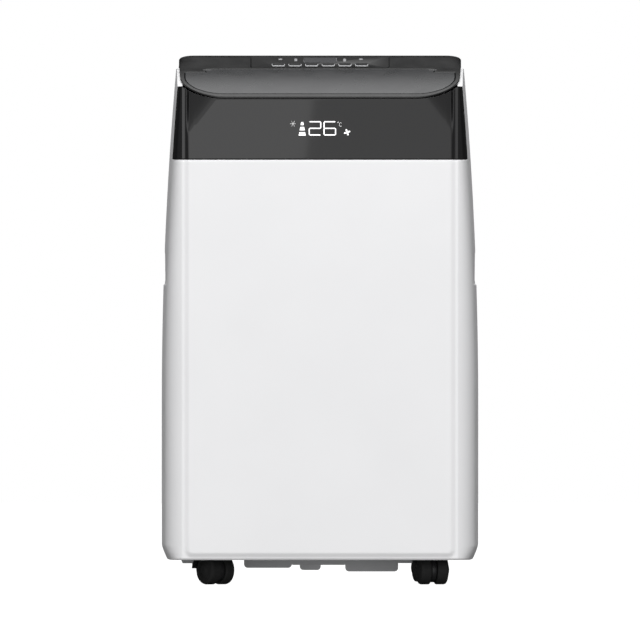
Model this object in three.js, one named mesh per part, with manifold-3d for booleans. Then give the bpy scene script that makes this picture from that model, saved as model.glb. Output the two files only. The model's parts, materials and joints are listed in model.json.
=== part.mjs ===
// Portable air conditioner on casters. Millimetres, +Z up, the front faces -Y.
// The origin is on the floor, under the middle of the casing.

import * as THREE from "three";
import { mergeVertices } from "three/addons/utils/BufferGeometryUtils.js";
import Module from "manifold-3d";

const wasm = await Module();
wasm.setup();

// ---------------------------------------------------------------- driving dimensions

const WIDTH = 438;
const DEPTH = 375;
const HEIGHT = 730;
const GAP = 0.4;
const WALL = 3;
const THIN_WALL = 2.5;

// Casing: upright to STRAIGHT_Z, then every wall leans in by a parabola up to the shoulder.
const SKIRT_Z = 34;
const FOOT_Z = 54;
const FOOT_INSET = 7.5;
const STRAIGHT_Z = 253;
const SHOULDER_Z = 712;
const SIDE_LEAN = 20;
const FRONT_LEAN = 5;
const CORNER = [32, 38];
const COVER_CORNER = [69, 56];
const SIDE_BULGE = 5;
const SEAM_Y = DEPTH / 2 - CORNER[1];
const GLASS_Z = 586;
const COVER_INSET = 5;
const RIM = 3;

// Top: level to the crest, a tilted control deck, then a lid that curves down to the front.
const CREST_Y = -34;
const DECK_TILT = THREE.MathUtils.degToRad(18);
const DECK_Y = -90;
const DECK_Z = HEIGHT - (CREST_Y - DECK_Y) * Math.tan(DECK_TILT);
const LID_SLOPE = 0.27;
const LID_CURVE = 0.0019;

// Flap: a tongue reaches back to the hinge, the wings beside it start further forward.
const FLAP_HALF = 186;
const FLAP_FRONT = -171;
const FLAP_CORNER = [52, 45];
const TONGUE_HALF = 157;
const TONGUE_REAR = -92.3;
const WING_REAR = -106.8;
const HINGE_Y = -96;

// Keys on the control deck, in the deck's own frame (Y runs up the slope).
const KEY_NAMES = ["power", "mode", "down", "up", "fan", "timer"];
const KEY_PITCH = 23;
const KEY_WIDTH = 18;
const KEY_DEPTH = 12;
const KEY_Y = 15;
const KEY_PROUD = 1.8;
const PANEL_HALF = 95;
const PANEL_Y = [5, 54];

// Air outlet: the duct's mouth lies in a frame of its own, vanes hang in it.
const MOUTH_REAR = [-100, 697];
const MOUTH_FRONT = [-166, 668];
const DUCT_HALF = 150;
const THROAT_Z = 621;
const VANE_XS = [-112, -37.5, 37.5, 112];
const VANE_PIVOT = -16;
const PIVOT_RADIUS = 1.5;
const PEG_Y = 23;

// Rear openings.
const UPPER_FILTER = { x: [-160, 160], z: [470, 690] };
const LOWER_FILTER = { x: [-110, 165], z: [70, 275] };
const EXHAUST = { x: 120, z: 352, radius: 56 };
const EXHAUST_SIDES = 28;
const COLLAR_WALL = 5;

// Handles.
const HANDLE_Y = 55;
const HANDLE_Z = [418, 457];
const HANDLE_CORNER = 10;
const HANDLE_BACK = 172;
const GRIP_Z = [414, 461];
const GRIP_DEPTH = 2.2;

// Casters.
const WHEEL_RADIUS = 20;
const STEM_X = 152;
const STEM_Y = 125;
const TRAIL = 13;
const STEM_RADIUS = 5;
const PAN_Z = 46;
const PAN_RIM = 62;

const MID_DECK_Z = 419;

// ---------------------------------------------------------------- solids and how to combine them

function solidOf(geometry) {
  const bare = geometry.clone();
  bare.deleteAttribute("normal");
  bare.deleteAttribute("uv");
  const merged = mergeVertices(bare, 1e-3);
  const vertProperties = Float32Array.from(merged.attributes.position.array);
  const triVerts = Uint32Array.from(merged.index.array);
  return new wasm.Manifold(new wasm.Mesh({ numProp: 3, vertProperties, triVerts }));
}

function geometryOf(solid) {
  const mesh = solid.getMesh();
  const geometry = new THREE.BufferGeometry();
  geometry.setAttribute("position", new THREE.BufferAttribute(Float32Array.from(mesh.vertProperties), 3));
  geometry.setIndex(new THREE.BufferAttribute(Uint32Array.from(mesh.triVerts), 1));
  return geometry;
}

const join = (first, ...others) => others.reduce((whole, piece) => whole.add(piece), first);
const cut = (first, ...others) => others.reduce((whole, piece) => whole.subtract(piece), first);
const common = (first, ...others) => others.reduce((whole, piece) => whole.intersect(piece), first);

// Spans that reach past the whole object, across it and in height.
const ALL = [-400, 400];
const ALL_Z = [0, 800];

// A box from its lowest and highest X, Y and Z.
function box([x0, x1], [y0, y1], [z0, z1]) {
  const geometry = new THREE.BoxGeometry(x1 - x0, y1 - y0, z1 - z0);
  geometry.translate((x0 + x1) / 2, (y0 + y1) / 2, (z0 + z1) / 2);
  return solidOf(geometry);
}

// How a flat shape is laid: its own X and Y axes, then the axis it is extruded along.
const LAY = {
  x: [new THREE.Vector3(0, 1, 0), new THREE.Vector3(0, 0, 1), new THREE.Vector3(1, 0, 0)],
  y: [new THREE.Vector3(1, 0, 0), new THREE.Vector3(0, 0, 1), new THREE.Vector3(0, -1, 0)],
  z: [new THREE.Vector3(1, 0, 0), new THREE.Vector3(0, 1, 0), new THREE.Vector3(0, 0, 1)],
};

// Extrudes a shape along an axis, between two places on that axis.
function prism(shape, axis, [from, to], curveSegments = 2) {
  const geometry = new THREE.ExtrudeGeometry(shape, { depth: to - from, bevelEnabled: false, curveSegments });
  geometry.applyMatrix4(new THREE.Matrix4().makeBasis(...LAY[axis]));
  const start = axis === "y" ? to : from;
  geometry.translate(axis === "x" ? start : 0, axis === "y" ? start : 0, axis === "z" ? start : 0);
  return solidOf(geometry);
}

// A round bar along an axis, at a place across it ([y, z], [x, z] or [x, y]).
function rod(axis, radius, span, [u, v], sides = 12) {
  const circle = new THREE.Shape();
  circle.absarc(0, 0, radius, 0, Math.PI * 2);
  const bar = prism(circle, axis, span, sides / 2);
  const place = { x: [0, u, v], y: [u, 0, v], z: [u, v, 0] };
  return bar.translate(place[axis]);
}

function ring(axis, outer, inner, span, place, sides) {
  const bore = [span[0] - 1, span[1] + 1];
  return cut(rod(axis, outer, span, place, sides), rod(axis, inner, bore, place, sides));
}

function polygon(points) {
  return new THREE.Shape(points.map(([u, v]) => new THREE.Vector2(u, v)));
}

function roundedRectangle([u0, u1], [v0, v1], radius) {
  const shape = new THREE.Shape();
  shape.moveTo(u0 + radius, v0);
  shape.absarc(u1 - radius, v0 + radius, radius, -Math.PI / 2, 0);
  shape.absarc(u1 - radius, v1 - radius, radius, 0, Math.PI / 2);
  shape.absarc(u0 + radius, v1 - radius, radius, Math.PI / 2, Math.PI);
  shape.absarc(u0 + radius, v0 + radius, radius, Math.PI, Math.PI * 1.5);
  return shape;
}

// A tube-like bar along a smooth curve through points.
function pipe(points, radius, steps) {
  const path = new THREE.CatmullRomCurve3(points.map((point) => new THREE.Vector3(...point)));
  const section = new THREE.Shape();
  section.absarc(0, 0, radius, 0, Math.PI * 2);
  return solidOf(new THREE.ExtrudeGeometry(section, { steps, extrudePath: path, curveSegments: 2 }));
}

function lathe(profile, segments) {
  const points = profile.map(([radius, height]) => new THREE.Vector2(radius, height));
  return solidOf(new THREE.LatheGeometry(points, segments).rotateX(Math.PI / 2));
}

// ---------------------------------------------------------------- the parts' tree

const airConditioner = new THREE.Group();

function frameAt(position, tilt, turn = 0) {
  const group = new THREE.Group();
  group.position.set(...position);
  group.rotation.set(tilt, 0, turn);
  airConditioner.add(group);
  return group;
}

function part(name, solid, look, parent = airConditioner) {
  const mesh = new THREE.Mesh(geometryOf(solid), new THREE.MeshStandardMaterial(look));
  mesh.name = name;
  parent.add(mesh);
}

// A solid of a tilted frame, placed in the casing's frame.
function inFrame(group, solid) {
  group.updateMatrix();
  return solid.transform(group.matrix.toArray());
}

const WHITE = { color: 0xe9eaea, roughness: 0.4, metalness: 0 };
const GREY = { color: 0x6f7072, roughness: 0.55, metalness: 0 };
const DARK = { color: 0x414244, roughness: 0.45, metalness: 0 };
const GLOSS = { color: 0x1c1c1e, roughness: 0.08, metalness: 0 };
const FLAP = { color: 0x55565a, roughness: 0.4, metalness: 0 };
const BLACK = { color: 0x151516, roughness: 0.5, metalness: 0 };
const PALE = { color: 0xd8d9da, roughness: 0.8, metalness: 0 };
const ALUMINIUM = { color: 0xb9bcc0, roughness: 0.35, metalness: 1 };
const STEEL = { color: 0x8c9094, roughness: 0.4, metalness: 1 };
const COPPER = { color: 0xb87333, roughness: 0.3, metalness: 1 };
const BOARD = { color: 0x1e6a3c, roughness: 0.6, metalness: 0 };

// ---------------------------------------------------------------- the casing's outer form

function lean(z) {
  const rise = Math.max(0, z - STRAIGHT_Z) / (SHOULDER_Z - STRAIGHT_Z);
  return rise * rise;
}

function foot(z) {
  const fall = Math.max(0, FOOT_Z - z) / (FOOT_Z - SKIRT_Z);
  return FOOT_INSET * Math.pow(fall, 1.3);
}

function halfWidth(z) {
  return WIDTH / 2 - SIDE_LEAN * lean(z) - foot(z);
}

function frontDepth(z) {
  return DEPTH / 2 - FRONT_LEAN * lean(z) - foot(z) / 2;
}

function rearDepth(z) {
  return DEPTH / 2 - foot(z) / 2;
}

// Plan of the casing: flat front and rear, quick corners, long shallow curves at the sides.
// The top cover has wider corners at its front.
function planShape(inset, [frontX, frontY]) {
  const x = WIDTH / 2 - inset;
  const y = DEPTH / 2 - inset;
  const side = x - SIDE_BULGE;
  const [rearX, rearY] = CORNER;
  const shape = new THREE.Shape();
  shape.moveTo(-side + frontX, -y);
  shape.absellipse(side - frontX, -y + frontY, frontX, frontY, -Math.PI / 2, 0);
  shape.quadraticCurveTo(x + SIDE_BULGE, 0, side, y - rearY);
  shape.absellipse(side - rearX, y - rearY, rearX, rearY, 0, Math.PI / 2);
  shape.absellipse(-side + rearX, y - rearY, rearX, rearY, Math.PI / 2, Math.PI);
  shape.quadraticCurveTo(-x - SIDE_BULGE, 0, -side, -y + frontY);
  shape.absellipse(-side + frontX, -y + frontY, frontX, frontY, Math.PI, Math.PI * 1.5);
  return shape;
}

const FOOT_LEVELS = [SKIRT_Z, 42, FOOT_Z];
const BODY_LEVELS = [STRAIGHT_Z, 340, 420, 500, GLASS_Z, 650, SHOULDER_Z, 745];
const NECK_LEVELS = [600, 650, SHOULDER_Z, 745];
const COVER_EDGE_X = 196;
const COVER_EDGE_Y = -178;
const BRIM_SWEEP = THREE.MathUtils.degToRad(65);

// The casing as a solid, drawn in by an inset, between the given levels.
function casing(inset, levels, corner = CORNER) {
  const steps = levels.length - 1;
  const options = { depth: 1, steps, bevelEnabled: false, curveSegments: 2 };
  const geometry = new THREE.ExtrudeGeometry(planShape(inset, corner), options);
  const place = geometry.attributes.position;
  for (let i = 0; i < place.count; i += 1) {
    const z = levels[Math.round(place.getZ(i) * steps)];
    const depth = place.getY(i) < 0 ? frontDepth(z) : rearDepth(z);
    const x = (place.getX(i) * (halfWidth(z) - inset)) / (WIDTH / 2 - inset);
    const y = (place.getY(i) * (depth - inset)) / (DEPTH / 2 - inset);
    place.setXYZ(i, x, y, z);
  }
  return solidOf(geometry);
}

// Height of the top along Y.
function crown(y) {
  if (y >= CREST_Y) return HEIGHT;
  if (y >= DECK_Y) return HEIGHT - (CREST_Y - y) * Math.tan(DECK_TILT);
  const run = DECK_Y - y;
  return DECK_Z - LID_SLOPE * run - LID_CURVE * run * run;
}

const LID_STEPS = 6;
const LID_END = -DEPTH / 2 - 2;
const lidYs = Array.from({ length: LID_STEPS + 1 }, (_, i) => DECK_Y + ((LID_END - DECK_Y) * i) / LID_STEPS);

// Everything under the crown, lowered by a drop.
function underCrown(drop, span) {
  const rear = DEPTH / 2 - COVER_INSET - drop;
  const edge = 14 - drop;
  const shape = new THREE.Shape();
  shape.moveTo(LID_END, 600);
  shape.lineTo(rear, 600);
  shape.absarc(rear - edge, HEIGHT - drop - edge, edge, 0, Math.PI / 2);
  [CREST_Y, ...lidYs].forEach((y) => shape.lineTo(y, crown(y) - drop));
  return prism(shape, "x", span, 2);
}

// Top edge of the side and rear panels: level, then RIM below the lid's curve.
const brimYs = lidYs.map((y) => [y, crown(y) - RIM]);
const BRIM_Y = CREST_Y - (HEIGHT - RIM - SHOULDER_Z) / Math.tan(DECK_TILT);

// In front of the cover's wide corners the brim keeps the height it has at the cover's edge.
const BRIM_CORNER = [63.5, 54.6];

function cornerBrim(drop, bottom) {
  const steps = 5;
  const [rx, ry] = BRIM_CORNER;
  const right = Array.from({ length: steps + 1 }, (_, i) => {
    const angle = (BRIM_SWEEP * i) / steps;
    const x = COVER_EDGE_X - rx + rx * Math.sin(angle);
    const y = COVER_EDGE_Y + ry - ry * Math.cos(angle);
    return [x, crown(y) - RIM - drop];
  });
  const end = right[steps];
  const points = [[WIDTH, bottom], [WIDTH, end[1]], ...right.toReversed()];
  const mirrored = points.toReversed().map(([x, z]) => [-x, z]);
  return prism(polygon([...points, ...mirrored]), "y", [-DEPTH, -SEAM_Y]);
}

function belowBrim(drop, bottom) {
  const top = [[DEPTH, SHOULDER_Z - drop], [BRIM_Y, SHOULDER_Z - drop]];
  const line = [...top, ...brimYs.map(([y, z]) => [y, z - drop])];
  const profile = prism(polygon([[LID_END, bottom], [DEPTH, bottom], ...line]), "x", ALL);
  return join(profile, cornerBrim(drop, bottom));
}

const FLANGE = 4;
const FLANGE_INSET = 7.5;
const outerForm = casing(0, [...FOOT_LEVELS, ...BODY_LEVELS]);
const innerForm = casing(WALL, [SKIRT_Z - 2, ...FOOT_LEVELS.slice(1), ...BODY_LEVELS]);
const neckForm = casing(FLANGE_INSET, NECK_LEVELS, COVER_CORNER);
const hollow = join(common(innerForm, belowBrim(FLANGE, 0)), neckForm);
const shell = cut(common(outerForm, belowBrim(GAP, 0)), hollow);

// ---------------------------------------------------------------- panels

// A span on one side of the object, from near its middle outward.
const outward = (side, near, far) => (side > 0 ? [near, far] : [-far, -near]);

function handleOpening(side) {
  const shape = roundedRectangle([-HANDLE_Y, HANDLE_Y], HANDLE_Z, HANDLE_CORNER);
  return prism(shape, "x", outward(side, 150, 240), 3);
}

// A shallow scoop along the side panel, deepest at its lower edge.
function gripScoop(side) {
  const [low, high] = GRIP_Z;
  const outside = WIDTH / 2 + 5;
  const inside = halfWidth(low) - GRIP_DEPTH;
  const corners = [[outside, low], [outside, high], [halfWidth(high), high], [inside, low]];
  const ordered = corners.map(([x, z]) => [side * x, z]);
  return prism(polygon(ordered), "y", [-SEAM_Y + 10, SEAM_Y - 10]);
}

function sidePanel(side) {
  const half = box(outward(side, 20, 300), [-SEAM_Y + GAP, SEAM_Y - GAP], ALL_Z);
  return cut(common(shell, half), gripScoop(side), handleOpening(side));
}

function handleCup(side) {
  const [low, high] = HANDLE_Z;
  const outline = (inset) => {
    const reach = HANDLE_Y - inset;
    return roundedRectangle([-reach, reach], [low + inset, high - inset], HANDLE_CORNER - inset);
  };
  const block = prism(outline(GAP), "x", outward(side, HANDLE_BACK, 240), 3);
  const pocket = prism(outline(WALL), "x", outward(side, HANDLE_BACK + 2.5, 240), 3);
  return cut(common(block, outerForm), gripScoop(side), pocket);
}

function filterOpening({ x, z }, play) {
  const grown = ([low, high]) => [low - play, high + play];
  return prism(roundedRectangle(grown(x), grown(z), 8 + play), "y", [160, 200]);
}

const REAR_FEATURES = {
  upperDrain: { x: -140, z: 437, radius: 9 },
  lowerDrain: { x: -150, z: 76, radius: 9 },
  gland: { x: -150, z: 150, radius: 11 },
};

function rearPanel() {
  const slab = common(shell, box(ALL, [SEAM_Y + GAP, DEPTH], ALL_Z));
  const hole = ({ x, z, radius }, play, sides) => rod("y", radius + play, [150, 200], [x, z], sides);
  const holes = Object.values(REAR_FEATURES).map((feature) => hole(feature, GAP, 16));
  const exhaust = hole(EXHAUST, COLLAR_WALL + 1, EXHAUST_SIDES);
  return cut(slab, filterOpening(UPPER_FILTER, GAP), filterOpening(LOWER_FILTER, GAP), exhaust, ...holes);
}

const frontSlab = common(shell, box(ALL, [-DEPTH, -SEAM_Y], ALL_Z));
part("front_panel", common(frontSlab, box(ALL, ALL, [0, GLASS_Z - GAP / 2])), WHITE);
part("display_lens", common(frontSlab, box(ALL, ALL, [GLASS_Z + GAP / 2, HEIGHT])), GLOSS);
part("left_side_panel", sidePanel(-1), WHITE);
part("right_side_panel", sidePanel(1), WHITE);
part("rear_panel", rearPanel(), WHITE);
part("left_handle_cup", handleCup(-1), GREY);
part("right_handle_cup", handleCup(1), GREY);

// ---------------------------------------------------------------- rear: filters, exhaust, plugs, gland

const REAR_FACE = DEPTH / 2 - 0.5;

const SLAT_PITCH = 16;
const SLAT_HEIGHT = 3.5;
const FRAME_BORDER = 10;

// A framed grille: level slats and one upright bar in the middle.
function filterGrille({ x, z }) {
  const inner = (border) => [x[0] + border, x[1] - border];
  const upright = (border) => [z[0] + border, z[1] - border];
  const frame = prism(roundedRectangle(x, z, 8), "y", [REAR_FACE - 12, REAR_FACE]);
  const window = box(inner(FRAME_BORDER), [150, 200], upright(FRAME_BORDER));
  const slats = [];
  for (let height = z[0] + SLAT_PITCH - 1; height < z[1] - FRAME_BORDER - SLAT_HEIGHT; height += SLAT_PITCH) {
    slats.push(box(inner(FRAME_BORDER - 1), [REAR_FACE - 8, REAR_FACE - 2], [height, height + SLAT_HEIGHT]));
  }
  const middle = (x[0] + x[1]) / 2;
  const mullion = box([middle - 3, middle + 3], [REAR_FACE - 9, REAR_FACE - 1], upright(FRAME_BORDER - 1));
  return join(cut(frame, window), mullion, ...slats);
}

part("upper_filter", filterGrille(UPPER_FILTER), WHITE);
part("lower_filter", filterGrille(LOWER_FILTER), WHITE);

function exhaustCollar() {
  const { x, z, radius } = EXHAUST;
  const place = [x, z];
  const sleeve = ring("y", radius + COLLAR_WALL, radius, [168, DEPTH / 2], place, EXHAUST_SIDES);
  const flange = ring("y", radius + COLLAR_WALL * 2, radius, [168, 171], place, EXHAUST_SIDES);
  return join(sleeve, flange);
}

function plug({ x, z, radius }) {
  const body = rod("y", radius, [168, REAR_FACE], [x, z], 16);
  return cut(body, box([x - 2, x + 2], [REAR_FACE - 2, 200], [z - 5, z + 5]));
}

function gland({ x, z, radius }) {
  const body = rod("y", radius, [172, REAR_FACE], [x, z], 16);
  return cut(body, rod("y", 4.5, [160, 200], [x, z], 12));
}

part("exhaust_collar", exhaustCollar(), GREY);
part("upper_drain_plug", plug(REAR_FEATURES.upperDrain), BLACK);
part("lower_drain_plug", plug(REAR_FEATURES.lowerDrain), BLACK);
part("cord_gland", gland(REAR_FEATURES.gland), BLACK);

// ---------------------------------------------------------------- top cover and flap

function flapOutline(play) {
  const half = FLAP_HALF + play;
  const front = FLAP_FRONT - play;
  const tongue = TONGUE_HALF + play;
  const [cornerX, cornerY] = FLAP_CORNER;
  const shape = new THREE.Shape();
  shape.moveTo(-half + cornerX, front);
  shape.absellipse(half - cornerX, front + cornerY, cornerX, cornerY, -Math.PI / 2, 0);
  shape.lineTo(half, WING_REAR + play);
  shape.lineTo(tongue, WING_REAR + play);
  shape.lineTo(tongue, TONGUE_REAR + play);
  shape.lineTo(-tongue, TONGUE_REAR + play);
  shape.lineTo(-tongue, WING_REAR + play);
  shape.lineTo(-half, WING_REAR + play);
  shape.absellipse(-half + cornerX, front + cornerY, cornerX, cornerY, Math.PI, Math.PI * 1.5);
  return shape;
}

const hingeZ = crown(HINGE_Y) - WALL / 2;
const deckFrame = frameAt([0, DECK_Y, DECK_Z], DECK_TILT);

// The cover seen from the front: its side edges are rounded by a quarter of an ellipse.
const COVER_HALF = halfWidth(SHOULDER_Z) - COVER_INSET;
const EDGE_X = 20;
const EDGE_Z = 6;
const roundTop = new THREE.Shape();
roundTop.moveTo(-COVER_HALF - 25, 600);
roundTop.lineTo(COVER_HALF + 25, 600);
roundTop.lineTo(COVER_HALF, HEIGHT - EDGE_Z - 2);
roundTop.absellipse(COVER_HALF - EDGE_X, HEIGHT - EDGE_Z, EDGE_X, EDGE_Z, 0, Math.PI / 2);
roundTop.absellipse(EDGE_X - COVER_HALF, HEIGHT - EDGE_Z, EDGE_X, EDGE_Z, Math.PI / 2, Math.PI);
roundTop.lineTo(-COVER_HALF, HEIGHT - EDGE_Z - 2);

function controlOpening(play) {
  const [low, high] = PANEL_Y;
  const shape = roundedRectangle([-PANEL_HALF - play, PANEL_HALF + play], [low - play, high + play], 4);
  return prism(shape, "z", [-WALL - 3, 5], 1);
}

// Sheets and openings of the lid are cut straight down through this span.
const LID_SPAN = [640, 740];
const PIN_RADIUS = 2;

function topCover() {
  const form = (inset) => casing(inset, NECK_LEVELS, COVER_CORNER);
  const outside = common(form(COVER_INSET), underCrown(0, ALL), prism(roundTop, "y", ALL));
  const inside = common(form(COVER_INSET + WALL), underCrown(WALL, ALL));
  const skin = cut(outside, inside, belowBrim(0, 500));
  const lugs = [-1, 1].map((side) => {
    const across = outward(side, TONGUE_HALF + 1, TONGUE_HALF + 8);
    const lug = box(across, [HINGE_Y - 6, HINGE_Y + 8], [hingeZ - 6, hingeZ + 4]);
    return common(lug, underCrown(1, ALL));
  });
  const opening = prism(flapOutline(GAP * 2), "z", LID_SPAN);
  const pinHole = rod("x", PIN_RADIUS + GAP, [-TONGUE_HALF - 6, TONGUE_HALF + 6], [HINGE_Y, hingeZ]);
  return cut(join(cut(skin, opening), ...lugs), inFrame(deckFrame, controlOpening(GAP)), pinHole);
}

function outletFlap() {
  const plate = cut(common(prism(flapOutline(0), "z", LID_SPAN), underCrown(0, ALL)), underCrown(WALL, ALL));
  const pin = rod("x", PIN_RADIUS, [-TONGUE_HALF - 5, TONGUE_HALF + 5], [HINGE_Y, hingeZ]);
  const between = box([-TONGUE_HALF + 4, TONGUE_HALF - 4], ALL, ALL_Z);
  return join(plate, cut(pin, between));
}

part("top_cover", topCover(), DARK);
part("outlet_flap", outletFlap(), FLAP);

// ---------------------------------------------------------------- control deck

const keyX = (index) => (index - (KEY_NAMES.length - 1) / 2) * KEY_PITCH;

function keyShape(index, play) {
  const x = keyX(index);
  const half = KEY_WIDTH / 2 + play;
  const deep = KEY_DEPTH / 2 + play;
  return roundedRectangle([x - half, x + half], [KEY_Y - deep, KEY_Y + deep], 2.5);
}

function controlPanel() {
  const plate = common(controlOpening(0), box(ALL, ALL, [-WALL, 0]));
  const holes = KEY_NAMES.map((_, index) => prism(keyShape(index, GAP), "z", [-10, 5], 1));
  return cut(plate, ...holes);
}

part("control_panel", controlPanel(), GLOSS, deckFrame);
KEY_NAMES.forEach((name, index) => {
  const cap = prism(keyShape(index, 0), "z", [-WALL - 1, KEY_PROUD], 1);
  const flange = prism(keyShape(index, 1.5), "z", [-WALL - 2.5, -WALL - 1], 1);
  part(`button_${name}`, join(cap, flange), BLACK, deckFrame);
});
part("control_board", box([-88, 88], [7, 52], [-9.5, -7.9]), BOARD, deckFrame);

// ---------------------------------------------------------------- outlet duct, vanes and their link

const mouthTilt = Math.atan2(MOUTH_REAR[1] - MOUTH_FRONT[1], MOUTH_REAR[0] - MOUTH_FRONT[0]);
const mouthMiddle = [(MOUTH_REAR[0] + MOUTH_FRONT[0]) / 2, (MOUTH_REAR[1] + MOUTH_FRONT[1]) / 2];
const mouthFrame = frameAt([0, ...mouthMiddle], mouthTilt);
const mouthHalf = Math.hypot(MOUTH_REAR[0] - MOUTH_FRONT[0], MOUTH_REAR[1] - MOUTH_FRONT[1]) / 2;

function ductShape(wall) {
  const rear = [[-56 + wall, THROAT_Z], [-84 + wall, 660], [MOUTH_REAR[0] + wall, MOUTH_REAR[1]]];
  const front = [[MOUTH_FRONT[0] - wall, MOUTH_FRONT[1]], [-150 - wall, 634], [-122 - wall, THROAT_Z]];
  return polygon([...rear, ...front].reverse());
}

const COLD_TOP = THROAT_Z - GAP;
const COLD_BLOWER = { x: -12, y: [-122, -56], z: 530, wheel: 72, least: 79, most: 108, throat: COLD_TOP };
const HOT_BLOWER = { x: 72, y: [-42, 26], z: 190, wheel: 75, least: 82, most: 112, throat: 296 };

const SCROLL_END = THREE.MathUtils.degToRad(70);

// The throat of a blower: from the tongue, where the scroll ends, to its widest side.
function throatSpan(blower, wall) {
  const tongue = blower.least * Math.cos(SCROLL_END);
  return [blower.x + tongue - wall, blower.x + blower.most + wall];
}

function outletDuct() {
  const outside = prism(ductShape(THIN_WALL), "x", [-DUCT_HALF - THIN_WALL, DUCT_HALF + THIN_WALL]);
  const floor = box(ALL, ALL, [0, THROAT_Z + THIN_WALL]);
  const inside = cut(prism(ductShape(0), "x", [-DUCT_HALF, DUCT_HALF]), floor);
  const mouth = inFrame(mouthFrame, box([-DUCT_HALF, DUCT_HALF], [-mouthHalf, mouthHalf], [-2, 10]));
  const throat = box(throatSpan(COLD_BLOWER, 0), [COLD_BLOWER.y[0] + 3, COLD_BLOWER.y[1] - 3], [600, 630]);
  const pivots = VANE_XS.map((x) => {
    const reach = mouthHalf + PIVOT_RADIUS + GAP;
    return inFrame(mouthFrame, rod("y", PIVOT_RADIUS + GAP, [-reach, reach], [x, VANE_PIVOT], 8));
  });
  return cut(outside, inside, mouth, throat, ...pivots);
}

part("outlet_duct", outletDuct(), GREY);

const VANE_HALF = mouthHalf - 3;
const VANE_DEPTH = 14;
VANE_XS.forEach((x, index) => {
  const heights = [VANE_PIVOT - VANE_DEPTH, VANE_PIVOT + VANE_DEPTH];
  const blade = box([x - 0.9, x + 0.9], [-VANE_HALF, VANE_HALF], heights);
  const reach = mouthHalf + PIVOT_RADIUS;
  const pivot = rod("y", PIVOT_RADIUS, [-reach, reach], [x, VANE_PIVOT], 8);
  const peg = rod("z", 1.2, [VANE_PIVOT - VANE_DEPTH - 5, VANE_PIVOT - VANE_DEPTH + 1], [x, PEG_Y], 8);
  part(`vane_${index + 1}`, join(blade, pivot, peg), DARK, mouthFrame);
});

function linkBar() {
  const span = [VANE_XS[0] - 10, VANE_XS[3] + 10];
  const bar = box(span, [PEG_Y - 5, PEG_Y + 5], [VANE_PIVOT - 20, VANE_PIVOT - 17]);
  const through = [VANE_PIVOT - 30, VANE_PIVOT];
  const slots = VANE_XS.map((x) => box([x - 4, x + 4], [PEG_Y - 2, PEG_Y + 2], through));
  return cut(bar, ...slots);
}

part("vane_link_bar", linkBar(), DARK, mouthFrame);

// ---------------------------------------------------------------- blowers

const MOTOR_LENGTH = 40;
const SHAFT_RADIUS = 4;

// A scroll that narrows from its widest side, round the wheel, to the tongue.
function scrollShape({ least, most }, wall, top) {
  const turn = Math.PI * 2 - SCROLL_END;
  const steps = 18;
  const points = [[most + wall, top]];
  for (let i = 0; i <= steps; i += 1) {
    const radius = most - ((most - least) * i) / steps + wall;
    const angle = (-turn * i) / steps;
    points.push([radius * Math.cos(angle), radius * Math.sin(angle)]);
  }
  points.push([least * Math.cos(SCROLL_END) - wall, top]);
  return polygon(points.reverse());
}

function blowerHousing(blower) {
  const height = blower.throat - blower.z;
  const [front, rear] = blower.y;
  const outside = prism(scrollShape(blower, THIN_WALL, height), "y", [front, rear]);
  const inside = prism(scrollShape(blower, 0, height + 20), "y", [front + THIN_WALL, rear - THIN_WALL]);
  const inlet = rod("y", blower.wheel * 0.78, [rear - 5, rear + 5], [0, 0], 20);
  const shaftHole = rod("y", SHAFT_RADIUS * 3, [front - 5, front + 5], [0, 0]);
  return cut(outside, inside, inlet, shaftHole).translate([blower.x, 0, blower.z]);
}

const BLADES = 18;

// The wheel's back plate faces the motor at the front; its shaft runs into the motor.
function blowerWheel({ x, y, z, wheel }) {
  const [front, rear] = [y[0] + 7, y[1] - 8];
  const plate = rod("y", wheel, [front, front + 2.5], [0, 0], BLADES);
  const brace = ring("y", wheel, wheel - 11, [rear - 4, rear], [0, 0], BLADES);
  const hub = rod("y", 15, [front, front + 26], [0, 0]);
  const shaft = rod("y", SHAFT_RADIUS, [y[0] - MOTOR_LENGTH / 2, front + 1], [0, 0]);
  const blade = box([-1, 1], [front + 1, rear - 1], [-5.5, 5.5]);
  const blades = Array.from({ length: BLADES }, (_, i) => {
    const turn = (360 * (i + 0.5)) / BLADES;
    return blade.rotate([0, 28, 0]).translate([0, 0, wheel - 7]).rotate([0, turn, 0]);
  });
  return join(plate, brace, hub, shaft, ...blades).translate([x, 0, z]);
}

function fanMotor({ x, y, z }, radius) {
  const [from, to] = [y[0] - GAP - MOTOR_LENGTH, y[0] - GAP];
  const can = rod("y", radius, [from, to - 4], [0, 0], 20);
  const plate = rod("y", radius + 6, [to - 5, to], [0, 0], 20);
  const bore = rod("y", SHAFT_RADIUS + GAP * 2, [from + 8, to + 5], [0, 0]);
  return cut(join(can, plate), bore).translate([x, 0, z]);
}

part("evaporator_blower_housing", blowerHousing(COLD_BLOWER), PALE);
part("evaporator_blower_wheel", blowerWheel(COLD_BLOWER), BLACK);
part("evaporator_fan_motor", fanMotor(COLD_BLOWER, 40), STEEL);
part("condenser_blower_housing", blowerHousing(HOT_BLOWER), PALE);
part("condenser_blower_wheel", blowerWheel(HOT_BLOWER), BLACK);
part("condenser_fan_motor", fanMotor(HOT_BLOWER, 44), STEEL);

const DUCT_END = 165;

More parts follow.
